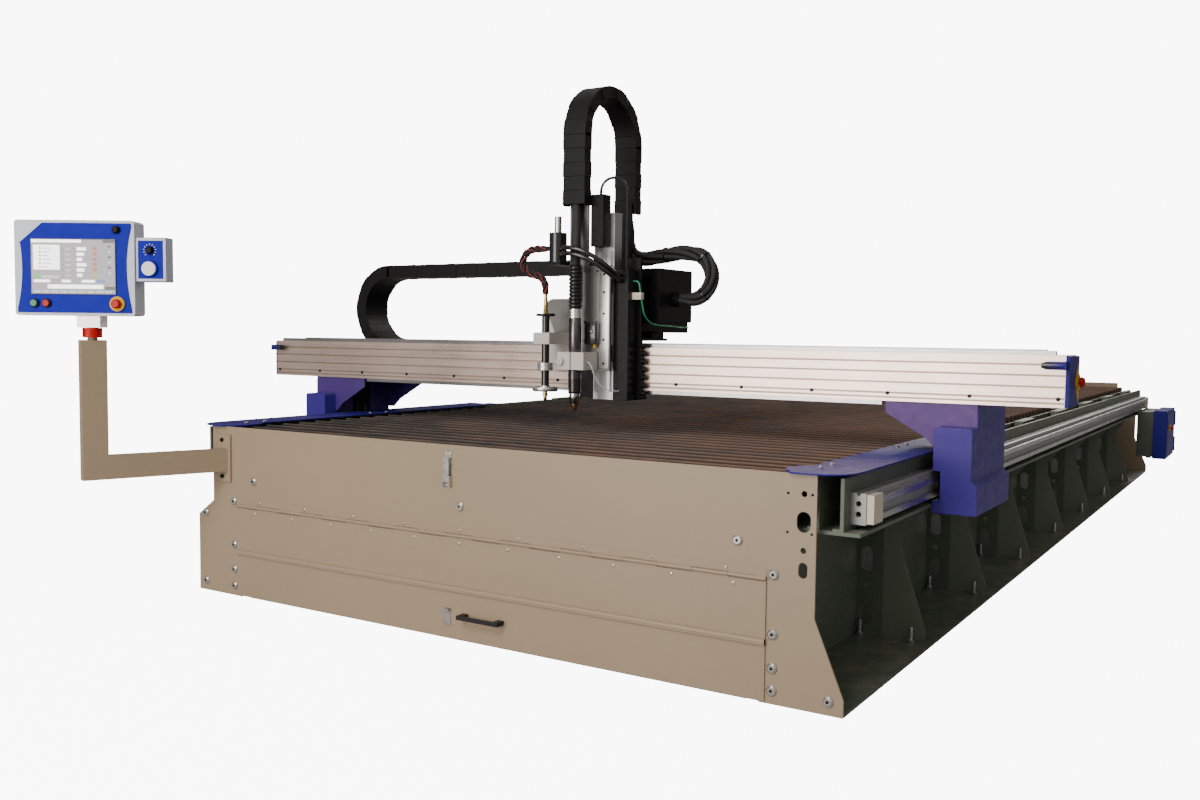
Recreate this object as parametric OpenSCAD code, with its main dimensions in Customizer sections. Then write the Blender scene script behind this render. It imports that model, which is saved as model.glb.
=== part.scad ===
// Plate cutting table with a travelling gantry, a lifting torch carriage and an operator console.
// Lengths are millimetres. X runs along the front panel, Y away from it, Z up.
// The origin lies on the floor under the middle of the table.

/* [Table] */
// length of one bay between side gussets
bay_pitch = 952.5; // [940:2.5:970]
// number of bays along the table
bay_count = 8; // [7:1:9]
// clear width of the slag bed
bed_w = 2440; // [2400:5:2450]
// width of the front panel above the wings
panel_w = 2850; // [2840:5:2860]
// width over the foot wings
foot_w = 3050; // [3045:5:3080]
// height of the front panel
panel_h = 750; // [748:1:752]
// thickness of the end panels
panel_t = 6; // [5:0.5:8]
// height where the left wing starts to slant
left_wing_top = 415; // [405:5:425]
// height where the left wing is at full width
left_wing_full = 345; // [335:5:355]
// height where the right wing starts to slant
right_wing_top = 296; // [286:5:306]
// height where the right wing is at full width
right_wing_full = 56; // [46:5:66]
// width of the rear panel above the shelves
rear_panel_w = 2540; // [2500:10:2560]
// height of the rear panel
rear_panel_h = 780; // [770:5:790]
// thickness of the bed side walls
wall_t = 8; // [6:1:9]
// thickness of the trough floor
floor_t = 8; // [6:1:10]
// how far a base plate reaches inside the bed wall
base_inset = 25; // [20:1:30]
// thickness of the floor base plates
base_t = 12; // [10:1:14]
// gap between the base plates and the end panels
base_end_gap = 10; // [6:1:20]
// diameter of a floor anchor hole
anchor_d = 18; // [14:1:22]
// distance of the anchor holes from the middle of the table
anchor_x = 1400; // [1395:1:1405]
// distance of an anchor hole from its gusset line
anchor_from_gusset = 90; // [80:5:110]

/* [Gussets] */
// thickness of a gusset
gusset_t = 8; // [6:1:10]
// distance of the gusset foot tip from the middle
gusset_foot_x = 1492; // [1485:1:1498]
// height of the gusset foot edge
gusset_foot_h = 28; // [20:2:40]
// distance of the gusset waist from the middle
gusset_waist_x = 1390; // [1385:1:1400]
// height of the lower end of the waist
gusset_waist_low = 380; // [370:5:390]
// height of the upper end of the waist
gusset_waist_high = 420; // [410:5:430]
// distance of the gusset head tip from the middle
gusset_head_x = 1500; // [1490:1:1510]
// distance of the fold line from the middle
gusset_fold_x = 1333; // [1328:1:1338]
// angle of the fold in degrees
gusset_fold = 14; // [6:1:18]
// distance of the obround holes from the middle
obround_x = 1268; // [1264:1:1272]
// width of an obround hole
obround_w = 44; // [36:1:48]
// height of an obround hole
obround_h = 100; // [90:2:110]
// height of the lower obround centre
obround_low = 100; // [95:1:110]
// height of the upper obround centre
obround_high = 310; // [300:1:320]
// height of the small hole between them
peep_z = 205; // [200:1:210]
// diameter of the small hole
peep_d = 24; // [18:1:30]
// distance of the inner levelling studs from the middle
stud_in_x = 1254; // [1250:1:1258]
// distance of the outer levelling studs from the middle
stud_out_x = 1455; // [1450:1:1460]
// distance of the studs in front of the gusset
stud_offset = 30; // [26:1:36]
// diameter of a levelling stud
stud_d = 16; // [12:1:18]
// height of a levelling stud
stud_h = 62; // [55:1:70]
// width over the corners of a stud nut
stud_nut_d = 27; // [24:0.5:29]
// height of a stud nut
stud_nut_h = 13; // [11:0.5:15]

/* [Shelves and rails] */
// height of the shelf underside
shelf_z = 560; // [556:1:564]
// thickness of the shelf
shelf_t = 12; // [10:1:13]
// distance of the shelf edge from the middle
shelf_x = 1552; // [1550:1:1553]
// start of the shelf behind the panel front
shelf_start = 40; // [35:1:60]
// gap between the shelf and the rear panel
shelf_rear_gap = 380; // [370:5:400]
// distance of the trough plate from the middle
trough_x = 1408; // [1400:1:1410]
// thickness of the trough plate
trough_t = 10; // [8:1:10]
// width of the trough plate foot
trough_foot_w = 30; // [24:1:32]
// height of a plate foot
plate_foot_h = 8; // [6:1:10]
// thickness of the rail web plate
web_t = 12; // [10:1:13]
// width of the web foot
web_foot_w = 24; // [20:1:26]
// height of the trough and web plates above the floor
web_top = 740; // [730:1:742]
// width of the rail extrusion
rail_w = 50; // [48:1:50]
// height of the rail extrusion
rail_h = 100; // [96:1:104]
// distance of the rail outer face from the middle
rail_x = 1548; // [1546:1:1549]
// height of the rail underside
rail_z = 590; // [588:1:594]
// start of the rail behind the panel front
rail_start = 100; // [90:5:110]
// gap between the rail and the rear panel
rail_rear_gap = 470; // [460:5:480]
// diameter of the rail core bores
rail_bore_d = 18; // [14:1:20]
// width of a rail slot
rail_slot_w = 10; // [8:1:12]
// depth of a rail slot
rail_slot_h = 8; // [6:1:10]
// length of an end stop block
stop_l = 86; // [80:1:95]
// thickness of an end stop block
stop_t = 24; // [20:1:26]
// height kept free above and below an end stop
stop_inset = 4; // [2:1:8]
// depth of the guide rail
guide_t = 18; // [16:1:19]
// height of the guide rail section
guide_h = 20; // [18:1:22]
// height of the guide rail centre
guide_z = 652; // [650:1:654]
// depth of the gear rack
rack_t = 12; // [10:1:13]
// height of the gear rack section
rack_h = 20; // [16:1:22]
// height of the rack underside
rack_z = 596; // [595:1:600]
// half length of a cover hoop along the rail
hoop_half = 148; // [140:1:155]
// thickness of the hoop sheet
hoop_t = 6; // [5:0.5:7]
// width of a hoop
hoop_w = 46; // [40:1:48]

/* [Bed and covers] */
// distance between slats
slat_pitch = 100; // [90:5:110]
// distance of the first slat from the panel front
slat_start = 110; // [100:5:120]
// thickness of a slat
slat_t = 5; // [4:0.5:6]
// height of a slat
slat_h = 100; // [95:1:104]
// height of the slat tops
slat_top = 745; // [744:0.5:748]
// length of a slat
slat_l = 2640; // [2630:2:2650]
// distance of a slat comb from the middle
comb_x = 1296; // [1290:1:1300]
// thickness of a slat comb
comb_t = 8; // [6:1:10]
// height of the slat comb tops
comb_top = 738; // [730:1:742]
// play of a slat in its comb slot
slat_play = 1; // [0.6:0.1:2]
// distance of the cover inner edge from the middle
cover_in_x = 1335; // [1332:1:1340]
// distance of the cover outer edge from the middle
cover_out_x = 1525; // [1515:1:1528]
// thickness of a cover plate
cover_t = 5; // [4:0.5:6]
// overhang of a cover in front of the panel
cover_front = 16; // [10:1:20]
// length of a cover behind the panel front
cover_l = 1960; // [1955:1:1975]
// radius of the outer front corner of a cover
cover_r = 120; // [100:5:130]
// distance of the cover screws from the cover inner edge
cover_screw_in = 42; // [38:1:46]
// places of the cover screws behind the panel front
cover_screw_places = [145, 250, 940, 1055, 1860]; // five distances
// diameter of a cover screw head
cover_screw_d = 20; // [16:1:22]
// height of a cover screw head
cover_screw_h = 6; // [5:0.5:8]

/* [Slag door] */
// width of the door opening
opening_w = 2480; // [2470:2:2490]
// height of the door opening
opening_h = 385; // [380:1:388]
// width of the door
door_w = 2524; // [2516:2:2530]
// height of the door top edge
door_top = 395; // [393:0.5:396]
// height of the door bottom edge
door_low = 6; // [4:0.5:10]
// thickness of the door sheet
door_t = 4; // [3:0.5:5]
// gap between the door and the panel
door_gap = 1; // [0.6:0.1:1.5]
// height of the stiffening rib
rib_z = 190; // [180:1:200]
// width of the stiffening rib
rib_w = 20; // [16:1:24]
// depth of the stiffening rib
rib_t = 8; // [6:0.5:10]
// height of the hinge axis
hinge_z = 405; // [404:0.5:406]
// outer diameter of the hinge barrel
barrel_d = 12; // [11:0.5:13]
// diameter of the hinge pin
pin_d = 6; // [5:0.5:7]
// radial play of the pin in the door knuckles
pin_play = 0.05; // [0.03:0.01:0.08]
// number of knuckle pairs along the hinge
knuckle_pairs = 9; // [6:1:12]
// gap between hinge knuckles
knuckle_gap = 1; // [0.6:0.1:2]
// width of a hinge leaf
leaf_w = 24; // [22:1:26]
// thickness of a hinge leaf
leaf_t = 2; // [1.5:0.25:2.5]
// diameter of a hinge screw head
leaf_screw_d = 12; // [10:0.5:13]
// height of a hinge screw head
leaf_screw_h = 3; // [2:0.25:4]
// distance of hinge screws
leaf_screw_pitch = 280; // [260:5:300]
// distance of the hinge screws from the hinge axis
leaf_screw_drop = 20; // [19:0.5:21]
// length of the bow handle
handle_l = 195; // [180:1:210]
// distance of the handle centre from the middle
handle_x = 117; // [110:1:125]
// height of the handle centre
handle_z = 103; // [95:1:110]
// height of the handle bar section
handle_h = 16; // [14:1:18]
// thickness of the handle bar
handle_t = 9; // [8:0.5:11]
// reach of the handle in front of the door
handle_reach = 42; // [36:1:46]
// width of a handle foot
handle_foot_w = 26; // [22:1:30]
// distance of latch and keeper from the middle
latch_x = -58; // [-66:1:-50]
// height of the latch base underside
latch_z = 588; // [580:1:595]
// height of the latch base
latch_h = 136; // [130:1:140]
// width of the latch base
latch_w = 34; // [30:1:38]
// thickness of the latch base
latch_t = 3; // [2.5:0.25:4]
// distance of the latch pivot above the base underside
latch_pivot = 22; // [20:1:26]
// distance of the latch pivot from the base face
latch_reach = 9; // [8:0.5:10]
// thickness of a latch ear
latch_ear_t = 3; // [2.5:0.25:3.5]
// diameter of the latch pivot pin
latch_pin_d = 5; // [4:0.25:6]
// length of the latch lever
lever_l = 92; // [85:1:98]
// thickness of the latch lever
lever_t = 4; // [3:0.25:5]
// gap between lever and ears
lever_gap = 0.6; // [0.4:0.1:1]
// height of the keeper underside
keeper_z = 57; // [50:1:62]
// height of the keeper
keeper_h = 66; // [60:1:70]
// depth of the keeper hook
keeper_hook = 14; // [10:1:16]
// height of the keeper hook
keeper_hook_h = 12; // [10:1:14]

/* [Panel fittings] */
// diameter of a panel bolt head
bolt_d = 34; // [30:0.5:36]
// height of a panel bolt head
bolt_h = 9; // [7:0.5:11]
// gap between the slag door and the bolts beside it
bolt_door_gap = 7; // [5:0.5:10]
// heights of the column bolts
bolt_column_places = [45, 118, 228, 421]; // four heights
// distance from the bolt columns out to the wing bolts
bolt_wing_step = 190; // [184:1:194]
// heights of the left and right wing bolts
bolt_wing_places = [[46, 355], [45]]; // left heights, right heights
// distance of the upper bolts from the middle
bolt_upper_x = 1158; // [1150:1:1165]
// height of the upper bolts
bolt_upper_z = 518; // [510:1:525]
// distance of the slot column from the panel edge
slot_in = 42; // [40:1:46]
// width and height of the upper slot
upper_slot = [46, 66]; // width, height
// depth of the upper slot centre below the panel top
upper_slot_drop = 152; // [148:1:156]
// width and height of the lower slot
lower_slot = [30, 50]; // width, height
// depth of the lower slot centre below the panel top
lower_slot_drop = 305; // [300:1:310]
// diameter of the larger edge holes
edge_hole_d = 19; // [16:1:22]
// depths of the larger edge holes below the panel top
edge_hole_drops = [63, 242]; // two depths
// diameter of the small edge holes
tap_hole_d = 9; // [7:0.5:11]
// distances of the small edge holes from the panel edge
tap_hole_ins = [15, 96]; // two distances
// depths of the small edge holes below the panel top
tap_hole_drops = [64, 188]; // two depths

/* [Gantry] */
// distance of the beam front from the panel front
beam_front = 862; // [855:1:870]
// depth of the beam
beam_d = 200; // [195:1:204]
// height of the beam
beam_h = 184; // [180:1:190]
// height of the beam underside
beam_z = 937; // [934:1:940]
// length of the beam
beam_l = 3970; // [3900:10:4000]
// wall of the beam extrusion
beam_wall = 8; // [6:1:10]
// width of a front groove
groove_w = 6; // [4:0.5:8]
// depth of a front groove
groove_d = 4; // [3:0.5:5]
// depths of the grooves below the beam top
groove_drops = [34, 72, 112, 152, 169]; // five depths
// thickness of the beam end plates
end_plate_t = 12; // [10:1:14]
// height kept free above and below an end plate
end_plate_inset = 3; // [2:0.5:6]
// distance of the leg inner tip from the middle
leg_in = 1350; // [1346:1:1356]
// distance of the leg outer face from the middle
leg_out = 1690; // [1685:1:1695]
// distance of the leg front behind the beam front
leg_back = 8; // [6:1:12]
// length of a leg along the rail
leg_l = 430; // [425:1:436]
// thickness of the saddle plate
saddle_t = 12; // [10:1:14]
// thickness of the leg plates
leg_t = 8; // [7:0.5:9]
// thickness of the leg outer plate
leg_outer_t = 10; // [8:1:12]
// thickness of the bearing plate
bearing_plate_t = 12; // [10:1:13]
// height of the leg plates underside at the webs
leg_web_z = 765; // [760:1:772]
// heights of the slanted web edge at its two ends
leg_slant_z = [893, 806]; // outer tip, inner corner
// distances of the slanted web edge corners from the middle
leg_slant_x = [1503, 1545]; // inner corner, foot
// height of the outer plate underside
leg_outer_z = 662; // [655:1:668]
// depth, length and height of a rail bearing block
bearing_size = [28, 90, 44]; // depth, length, height
// gap between a bearing block and the rail it wraps
bearing_gap = 0.5; // [0.4:0.1:0.8]
// gap between a bearing block and the surface behind the rail
bearing_stand = 4; // [3:0.5:5]
// distance of the first bearing from the leg front
bearing_first = 20; // [18:1:26]
// thickness of a rail wiper
wiper_t = 10; // [8:0.5:11]
// height of the wiper underside
wiper_z = 592; // [591:1:595]
// height of a rail wiper
wiper_h = 96; // [90:1:97]
// radial play of a shaft in its bearing hole
shaft_play = 0.05; // [0.03:0.01:0.08]
// width of the drive bay between the bearing plates
drive_bay = 130; // [124:1:134]
// height of the motor plate underside
motor_plate_z = 706; // [702:1:712]
// thickness of the motor plate
motor_plate_t = 12; // [10:1:14]
// gap between the gear rack and the drive gearbox
drive_gap = 8; // [6:1:12]
// diameter and height of the drive gearbox
gearbox = [74, 72]; // diameter, height
// width and height of the drive motor
drive_motor = [76, 122]; // width, height
// thickness of the cover sheet
sheet_t = 2; // [1.5:0.25:2.5]
// distance of the leg cover inner side from the middle
cover_box_in = 1556; // [1554.5:0.5:1558]
// reach of the leg cover in front of the leg
cover_box_front = 75; // [70:1:80]
// height of the leg cover underside
cover_box_z = 540; // [536:1:544]
// height of the leg cover top
cover_box_top = 853; // [846:1:860]
// radius of the cover top edges
cover_box_r = 12; // [8:1:16]
// distance of the rail notch edge from the middle
notch_x = 1583; // [1582:0.5:1584]
// heights of the rail notch in the leg cover
notch_zs = [586, 694]; // low, high
// reach of the skirt outside the leg
skirt_w = 22; // [18:1:26]
// height of the skirt top at the leg
skirt_top = 665; // [660:1:670]
// drop of the skirt top edge to its outer side
skirt_drop = 20; // [16:1:24]
// diameter of a light barrier housing
eye_d = 28; // [24:1:30]
// length of a light barrier housing
eye_l = 66; // [60:1:72]
// diameter of a light barrier lens
eye_lens_d = 20; // [16:1:24]
// length of a light barrier lens
eye_lens_l = 10; // [8:1:12]
// distance of the light barrier axis before the beam
eye_front = 22; // [20:1:26]
// depth of the light barrier axis below the beam top
eye_drop = 36; // [32:1:40]
// thickness of the light barrier bracket
eye_plate_t = 6; // [5:0.5:8]
// distance of the gantry stop button behind the beam front
gantry_stop_back = 150; // [140:5:160]
// depth of the gantry stop button below the beam top
gantry_stop_drop = 97; // [92:1:102]

/* [Beam guides] */
// width of a beam guide rail
beam_guide_w = 20; // [18:1:22]
// height of a beam guide rail
beam_guide_h = 15; // [13:1:16]
// distance of the beam guides behind the beam front
beam_guide_back = 10; // [8:1:12]
// length of the upper beam guide
upper_guide_l = 3900; // [3800:10:3930]
// length of the lower beam guide
lower_guide_l = 2670; // [2640:5:2680]
// distance of the beam rack behind the beam front
beam_rack_back = 123; // [118:1:128]
// depth of the beam rack
beam_rack_t = 15; // [12:1:16]
// height of the beam rack
beam_rack_h = 18; // [16:1:20]
// length of the beam rack
beam_rack_l = 3800; // [3700:10:3880]
// depth of the chain tray below the beam top
tray_drop = 53; // [50:1:56]
// length of the chain tray
tray_l = 1500; // [1400:10:1560]
// thickness of the chain tray sheet
tray_t = 8; // [6:0.5:9]
// height of the tray lip
tray_lip = 22; // [18:1:26]

/* [Carriage] */
// left edge of the carriage plate at rest
carriage_left = -50; // [-55:1:-46]
// width of the carriage plate
carriage_w = 340; // [336:1:344]
// gap between the carriage plate and the beam
carriage_gap = 12; // [10:1:14]
// thickness of the carriage plate
carriage_t = 14; // [12:1:15]
// height of the carriage plate underside
carriage_z = 896; // [894:0.5:898]
// height of the carriage plate top
carriage_top = 1500; // [1495:1:1510]
// thickness of the bridge and the lower lip
bridge_t = 12; // [10:1:13]
// height of a carriage bearing block
slider_h = 27; // [26:0.5:28]
// gap between a bearing block and the surface under its rail
slider_lift = 2; // [1.5:0.25:3]
// length of a carriage bearing block
slider_l = 80; // [70:1:90]
// width of a carriage bearing block
slider_w = 38; // [36:1:39]
// distance of the bearing blocks from the carriage edges
slider_in = 24; // [20:1:30]
// reach of the bridge behind the carriage plate
bridge_l = 226; // [222:1:228]
// distance of the carriage pinion from the carriage edge
carriage_drive_in = 42; // [40:1:46]
// distance of the carriage motor front behind the beam rack, to the front
carriage_drive_back = 14; // [10:1:14.5]
// width and height of the carriage motor
carriage_motor = [70, 150]; // width, height
// thickness of the profile wiper
profile_wiper_t = 6; // [5:0.5:7]
// gap between the profile wiper and the beam
profile_wiper_gap = 1; // [0.6:0.1:1.5]
// left edge of the lifter column
column_left = 95; // [93:1:97]
// width of the lifter column
column_w = 100; // [98:1:104]
// depth of the lifter column
column_d = 60; // [56:1:62]
// height of the lifter column top
column_top = 1690; // [1680:1:1700]
// width of the side column
side_column_w = 64; // [60:1:66]
// depth of the side column
side_column_d = 78; // [74:1:80]
// height of the side column top
side_column_top = 1445; // [1435:1:1455]
// gap between the two columns
side_column_gap = 17; // [15:1:19]
// width of a lift guide rail
lift_guide_w = 15; // [14:0.5:16]
// depth of a lift guide rail
lift_guide_t = 12; // [11:0.5:13]
// distance of the lift guides from the column edges
lift_guide_in = 10; // [9:0.5:11]
// heights of the lift guide ends
lift_guide_zs = [930, 1530]; // low, high
// width, depth and height of the lift motor
lift_motor = [60, 60, 205]; // width, depth, height
// height of the lift motor underside
lift_motor_z = 1557; // [1553:1:1562]
// gap between the lift motor and the column
lift_motor_gap = 2; // [1:0.5:4]
// thickness of the lift motor plate
lift_motor_plate_t = 12; // [10:1:13]

/* [Torch head] */
// left edge of the lift plate
lift_plate_left = 70; // [68:1:72]
// width of the lift plate
lift_plate_w = 140; // [138:1:144]
// thickness of the lift plate
lift_plate_t = 12; // [10:1:13]
// distance of the lift plate before the column
lift_plate_front = 42; // [41.5:0.5:43]
// heights of the lift plate ends
lift_plate_zs = [1020, 1465]; // low, high
// heights of the lift bearing undersides
lift_bearing_zs = [1060, 1350]; // low pair, high pair
// height of a lift bearing block
lift_bearing_h = 70; // [60:1:76]
// width of a lift bearing block
lift_bearing_w = 27; // [26:0.5:28]
// distance of the torch axis from the middle
torch_x = 83; // [81:0.5:85]
// distance of the torch axis from the panel front
torch_y = 650; // [648:0.5:652]
// diameter of the torch body
torch_d = 57; // [54:0.5:60]
// heights of the torch body ends
torch_zs = [925, 1240]; // low, high
// lower diameter of the torch shield
shield_d = 36; // [34:0.5:38]
// height of the torch shield
shield_h = 45; // [42:0.5:48]
// diameter and height of the torch tip
tip = [20, 28]; // diameter, height
// diameter of the tip end
tip_end_d = 12; // [10:0.5:14]
// diameter of the collar rings
collar_d = 64; // [62:0.5:66]
// height of the collar
collar_h = 40; // [36:1:44]
// number of collar rings
collar_rings = 3; // [2:1:4]
// depth of the grooves between collar rings
collar_groove = 4; // [3:0.25:5]
// diameter over the bellows ribs
bellows_d = 60; // [58:0.5:64]
// diameter at the bellows roots
bellows_root_d = 50; // [48:0.5:52]
// bore of the bellows
bellows_bore = 40; // [36:0.5:42]
// height of the bellows
bellows_h = 185; // [180:1:190]
// number of bellows ribs
bellows_ribs = 11; // [8:1:14]
// width of the torch clamp
clamp_w = 132; // [128:1:136]
// height of the torch clamp
clamp_h = 74; // [70:1:78]
// height of the torch clamp underside
clamp_z = 1025; // [1022:1:1030]
// reach of the clamp in front of the torch axis
clamp_front = 36; // [35:0.5:38]
// width of the slot at the clamp front
clamp_slot = 5; // [4:0.5:6]
// diameter of the clamp knob
knob_d = 34; // [30:0.5:36]
// thickness of the clamp knob
knob_t = 14; // [12:0.5:16]
// diameter of the clamp knob stem
knob_stem_d = 10; // [9:0.5:11]
// length of the clamp knob stem in the clamp
knob_stem_l = 18; // [16:0.5:20]
// distance of the knob from the torch axis
knob_in = 48; // [46:0.5:49]
// gap between the knob and the clamp
knob_gap = 0.6; // [0.4:0.1:1]
// width of the chain bracket on the lift
lift_bracket_w = 94; // [90:1:95]
// left edge of the chain bracket
lift_bracket_left = 10; // [9:0.5:11]
// thickness of the chain bracket
lift_bracket_t = 9; // [8:0.5:9.5]
// heights of the chain bracket ends
lift_bracket_zs = [1440, 1765]; // low, high

/* [Marker] */
// distance of the marker axis from the middle, to the left
marker_x = 100; // [98:0.5:102]
// distance of the marker axis from the panel front
marker_y = 690; // [686:0.5:694]
// diameter of the marker rod
marker_rod_d = 34; // [32:0.5:36]
// heights of the marker rod ends
marker_rod_zs = [945, 1250]; // low, high
// radial play of the marker rod in its guide
marker_play = 0.05; // [0.03:0.01:0.08]
// width and height of the marker guide
marker_guide = [84, 50]; // width, height
// height of the marker guide underside
marker_guide_z = 1130; // [1125:1:1135]
// reach of the guide in front of the marker axis
marker_guide_front = 30; // [28:0.5:32]
// width of the marker plate
marker_plate_w = 200; // [196:1:204]
// distance of the marker plate right edge from the middle
marker_plate_right = 10; // [6:1:14]
// thickness of the marker plate
marker_plate_t = 14; // [12:0.5:16]
// heights of the marker plate ends
marker_plate_zs = [1010, 1330]; // low, high
// radius of the marker plate corners
marker_plate_r = 40; // [36:1:44]
// diameter and height of the marker collar
marker_collar = [70, 34]; // diameter, height
// height of the marker collar underside
marker_collar_z = 1016; // [1012:1:1022]
// diameter and thickness of the marker disc
marker_disc = [84, 12]; // diameter, thickness
// diameter and height of the marker fitting
marker_fitting = [20, 62]; // diameter, height
// outer diameter of the marker shoe
shoe_d = 112; // [108:1:116]
// width of the gap in the marker shoe
shoe_gap = 54; // [50:1:58]
// height of the marker shoe
shoe_h = 20; // [18:0.5:22]
// diameter of the marker nozzle
nozzle_d = 30; // [28:0.5:32]
// waist diameter of the marker nozzle
nozzle_waist_d = 18; // [16:0.5:20]
// height of each of the three nozzle steps
nozzle_step = 13; // [12:0.5:14]
// distance of the actuator axis from the middle, to the left
actuator_x = 36; // [35:0.5:38]
// distance of the actuator axis from the panel front
actuator_y = 690; // [688:0.5:694]
// diameter of the actuator
actuator_d = 76; // [74:0.5:78]
// heights of the actuator ends
actuator_zs = [1480, 1605]; // low, high
// thickness of the actuator bracket
actuator_bracket_t = 12; // [10:0.5:13]
// diameter of the actuator side port
marker_port_d = 20; // [18:0.5:22]
// diameter and height of the actuator fitting
actuator_fitting = [30, 70]; // diameter, height

/* [Cable chains] */
// height of a beam chain link
chain_h = 66; // [64:1:68]
// width of the beam chain
chain_w = 170; // [168:1:172]
// pitch of the beam chain
chain_pitch = 65; // [64:0.5:66]
// inner bend radius of the beam chain
chain_r = 160; // [158:1:162]
// distance of the bend centre from the middle, to the left
chain_bend_x = 1391; // [1385:1:1397]
// links in the upper run of the beam chain
upper_links = 21; // [20:1:21]
// links in the lower run of the beam chain
lower_links = 12; // [10:1:13]
// links in a half turn of a chain
bend_links = 9; // [8:1:10]
// distance of the beam chain behind the beam
chain_back = 18; // [16:1:20]
// thickness of a link side plate
link_side_t = 8; // [7:0.5:9]
// thickness of a link bar
link_bar_t = 5; // [4:0.5:6]
// share of the pitch that a link bar covers
link_bar_share = 0.62; // [0.5:0.02:0.8]
// step of the link joint below the link edge
link_step = 5; // [4:0.5:6]
// share of the pitch taken by the link joint
link_joint_share = 0.14; // [0.1:0.02:0.2]
// height of a lift chain link
lift_chain_h = 53; // [51:1:54]
// width of the lift chain
lift_chain_w = 111; // [109:1:112]
// pitch of the lift chain
lift_chain_pitch = 58; // [56:0.5:58]
// inner bend radius of the lift chain
lift_chain_r = 181; // [179:1:183]
// links in each leg of the lift chain
lift_chain_links = 5; // [5:1:6]
// left edge of the lift chain
lift_chain_left = 6; // [5.5:0.5:8]
// height of the lift chain bend centre
lift_chain_top = 2010; // [2004:1:2016]
// width of the chain mast
mast_w = 90; // [86:1:94]
// left edge of the chain mast
mast_left = 15; // [13:1:17]
// thickness of the chain mast
mast_t = 12; // [10:0.5:12.5]
// height of the chain mast top
mast_top = 1762; // [1755:1:1770]
// thickness of the chain end bracket
chain_bracket_t = 12; // [10:0.5:13]
// width of the chain end bracket
chain_bracket_w = 200; // [195:1:205]

/* [Ignition box] */
// width, depth and height of the ignition box
ignition = [171, 300, 232]; // width, depth, height
// left edge of the ignition box
ignition_left = 145; // [143:1:147]
// distance of the ignition box from the panel front
ignition_front = 952; // [948:1:956]
// height of the ignition box bracket
ignition_bracket_h = 47; // [44:1:50]
// wall of the ignition box bracket
ignition_bracket_t = 5; // [4:0.5:6]
// width, depth and height of the bracket post
ignition_post = [80, 100, 24]; // width, depth, height
// distance of the bracket inside the box outline
ignition_bracket_in = 12; // [10:0.5:14]
// diameter and length of a round connector
connector = [44, 30]; // diameter, length
// heights of the connectors above the box underside
connector_zs = [80, 168]; // low, high
// distance of the connectors from the box left edge
connector_in = 54; // [50:1:58]
// diameter and length of the hose gland
gland = [66, 22]; // diameter, length

/* [Hoses and leads] */
// diameter of the torch lead
torch_lead_d = 40; // [38:1:42]
// diameter of the hose bundle
bundle_d = 52; // [50:1:54]
// diameter of the marker hose
marker_hose_d = 12; // [11:0.5:13]
// diameter of the earth lead
earth_lead_d = 7; // [6:0.5:8]
// diameter of the signal lead
signal_lead_d = 8; // [7:0.5:9]
// diameter of the motor lead
motor_lead_d = 12; // [10:0.5:13]

/* [Console arm] */
// width of the arm flange
flange_w = 100; // [98:1:104]
// thickness of the arm flange
flange_t = 10; // [9:0.5:12]
// heights of the arm flange ends
flange_zs = [505, 715]; // low, high
// distance of the flange middle from the table middle
flange_x = 1350; // [1345:1:1355]
// distance of the arm root from the table middle
arm_x = 1340; // [1336:1:1344]
// diameter and thickness of a flange screw head
flange_screw = [18, 10]; // diameter, thickness
// distance of the flange screws from the flange ends
flange_screw_in = 24; // [20:1:28]
// turn of the arm away from straight ahead
arm_turn = 20; // [16:1:24]
// width of the arm tube
arm_w = 50; // [48:1:52]
// height of the arm tube
arm_h = 100; // [96:1:104]
// height of the arm tube underside
arm_z = 552; // [548:1:556]
// length of the arm up to the post
arm_l = 485; // [480:1:490]
// length of the post section along the arm
post_l = 100; // [98:1:102]
// height of the post top
post_top = 1130; // [1126:1:1134]
// diameter of the console spindle
spindle_d = 40; // [38:0.5:42]
// height of the console spindle
spindle_h = 85; // [82:0.5:86]
// diameter of the red clamp collar
clamp_collar_d = 76; // [72:1:80]
// heights of the clamp collar above the post
clamp_collar_zs = [10, 50]; // low, high
// width of the clamp collar split
clamp_split = 5; // [4:0.5:6]
// radial play of the swivel on the spindle
swivel_play = 0.05; // [0.03:0.01:0.08]
// gap between the swivel block and the collar
swivel_gap = 0.6; // [0.4:0.1:0.8]
// width and depth of the swivel block
swivel_block = [96, 70]; // width, depth

/* [Console] */
// turn of the console at rest
console_turn = 32.5; // [30:0.5:35]
// height of the console underside above the post
console_lift = 98; // [96:1:100]
// width of the console case
console_w = 485; // [480:1:490]
// distance of the console left edge from the spindle
console_left = 285; // [282:1:288]
// height of the console case
console_h = 385; // [380:1:390]
// depth of the console case
console_d = 100; // [96:1:104]
// distance of the console front before the spindle
console_front = 55; // [53:1:57]
// radius of the console corners
console_r = 14; // [12:1:16]
// thickness of the console face
face_t = 3; // [2.5:0.25:3.5]
// margin of the face inside the case
face_in = 12; // [10:1:14]
// depth of the waves at the face sides
face_wave = 20; // [16:1:24]
// share of the face height that a wave takes
face_wave_share = 0.9; // [0.7:0.02:0.94]
// width of the accent triangle
accent_w = 120; // [110:1:130]
// height of the accent triangle
accent_h = 58; // [54:1:62]
// thickness of the accent triangle
accent_t = 1; // [0.8:0.1:1.2]
// width and height of the screen bezel
screen = [342, 223]; // width, height
// left edge and underside of the bezel from the spindle and the case underside
screen_at = [-216, 86]; // across, up
// thickness of the bezel
screen_t = 4; // [3:0.5:5]
// margin of the glass inside the bezel
screen_in = 13; // [11:0.5:15]
// places of the two push buttons from the spindle and the case underside
push_places = [[-204, 50], [-155, 50]]; // across, up
// diameter of a push button
push_d = 26; // [24:0.5:28]
// diameter of a button ring
push_ring_d = 36; // [34:0.5:38]
// height of a button ring
push_ring_h = 8; // [7:0.5:9]
// gap around a moving button
button_gap = 0.5; // [0.4:0.1:0.6]
// height of a button above its ring
push_rise = 6; // [5:0.5:7]
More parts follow.
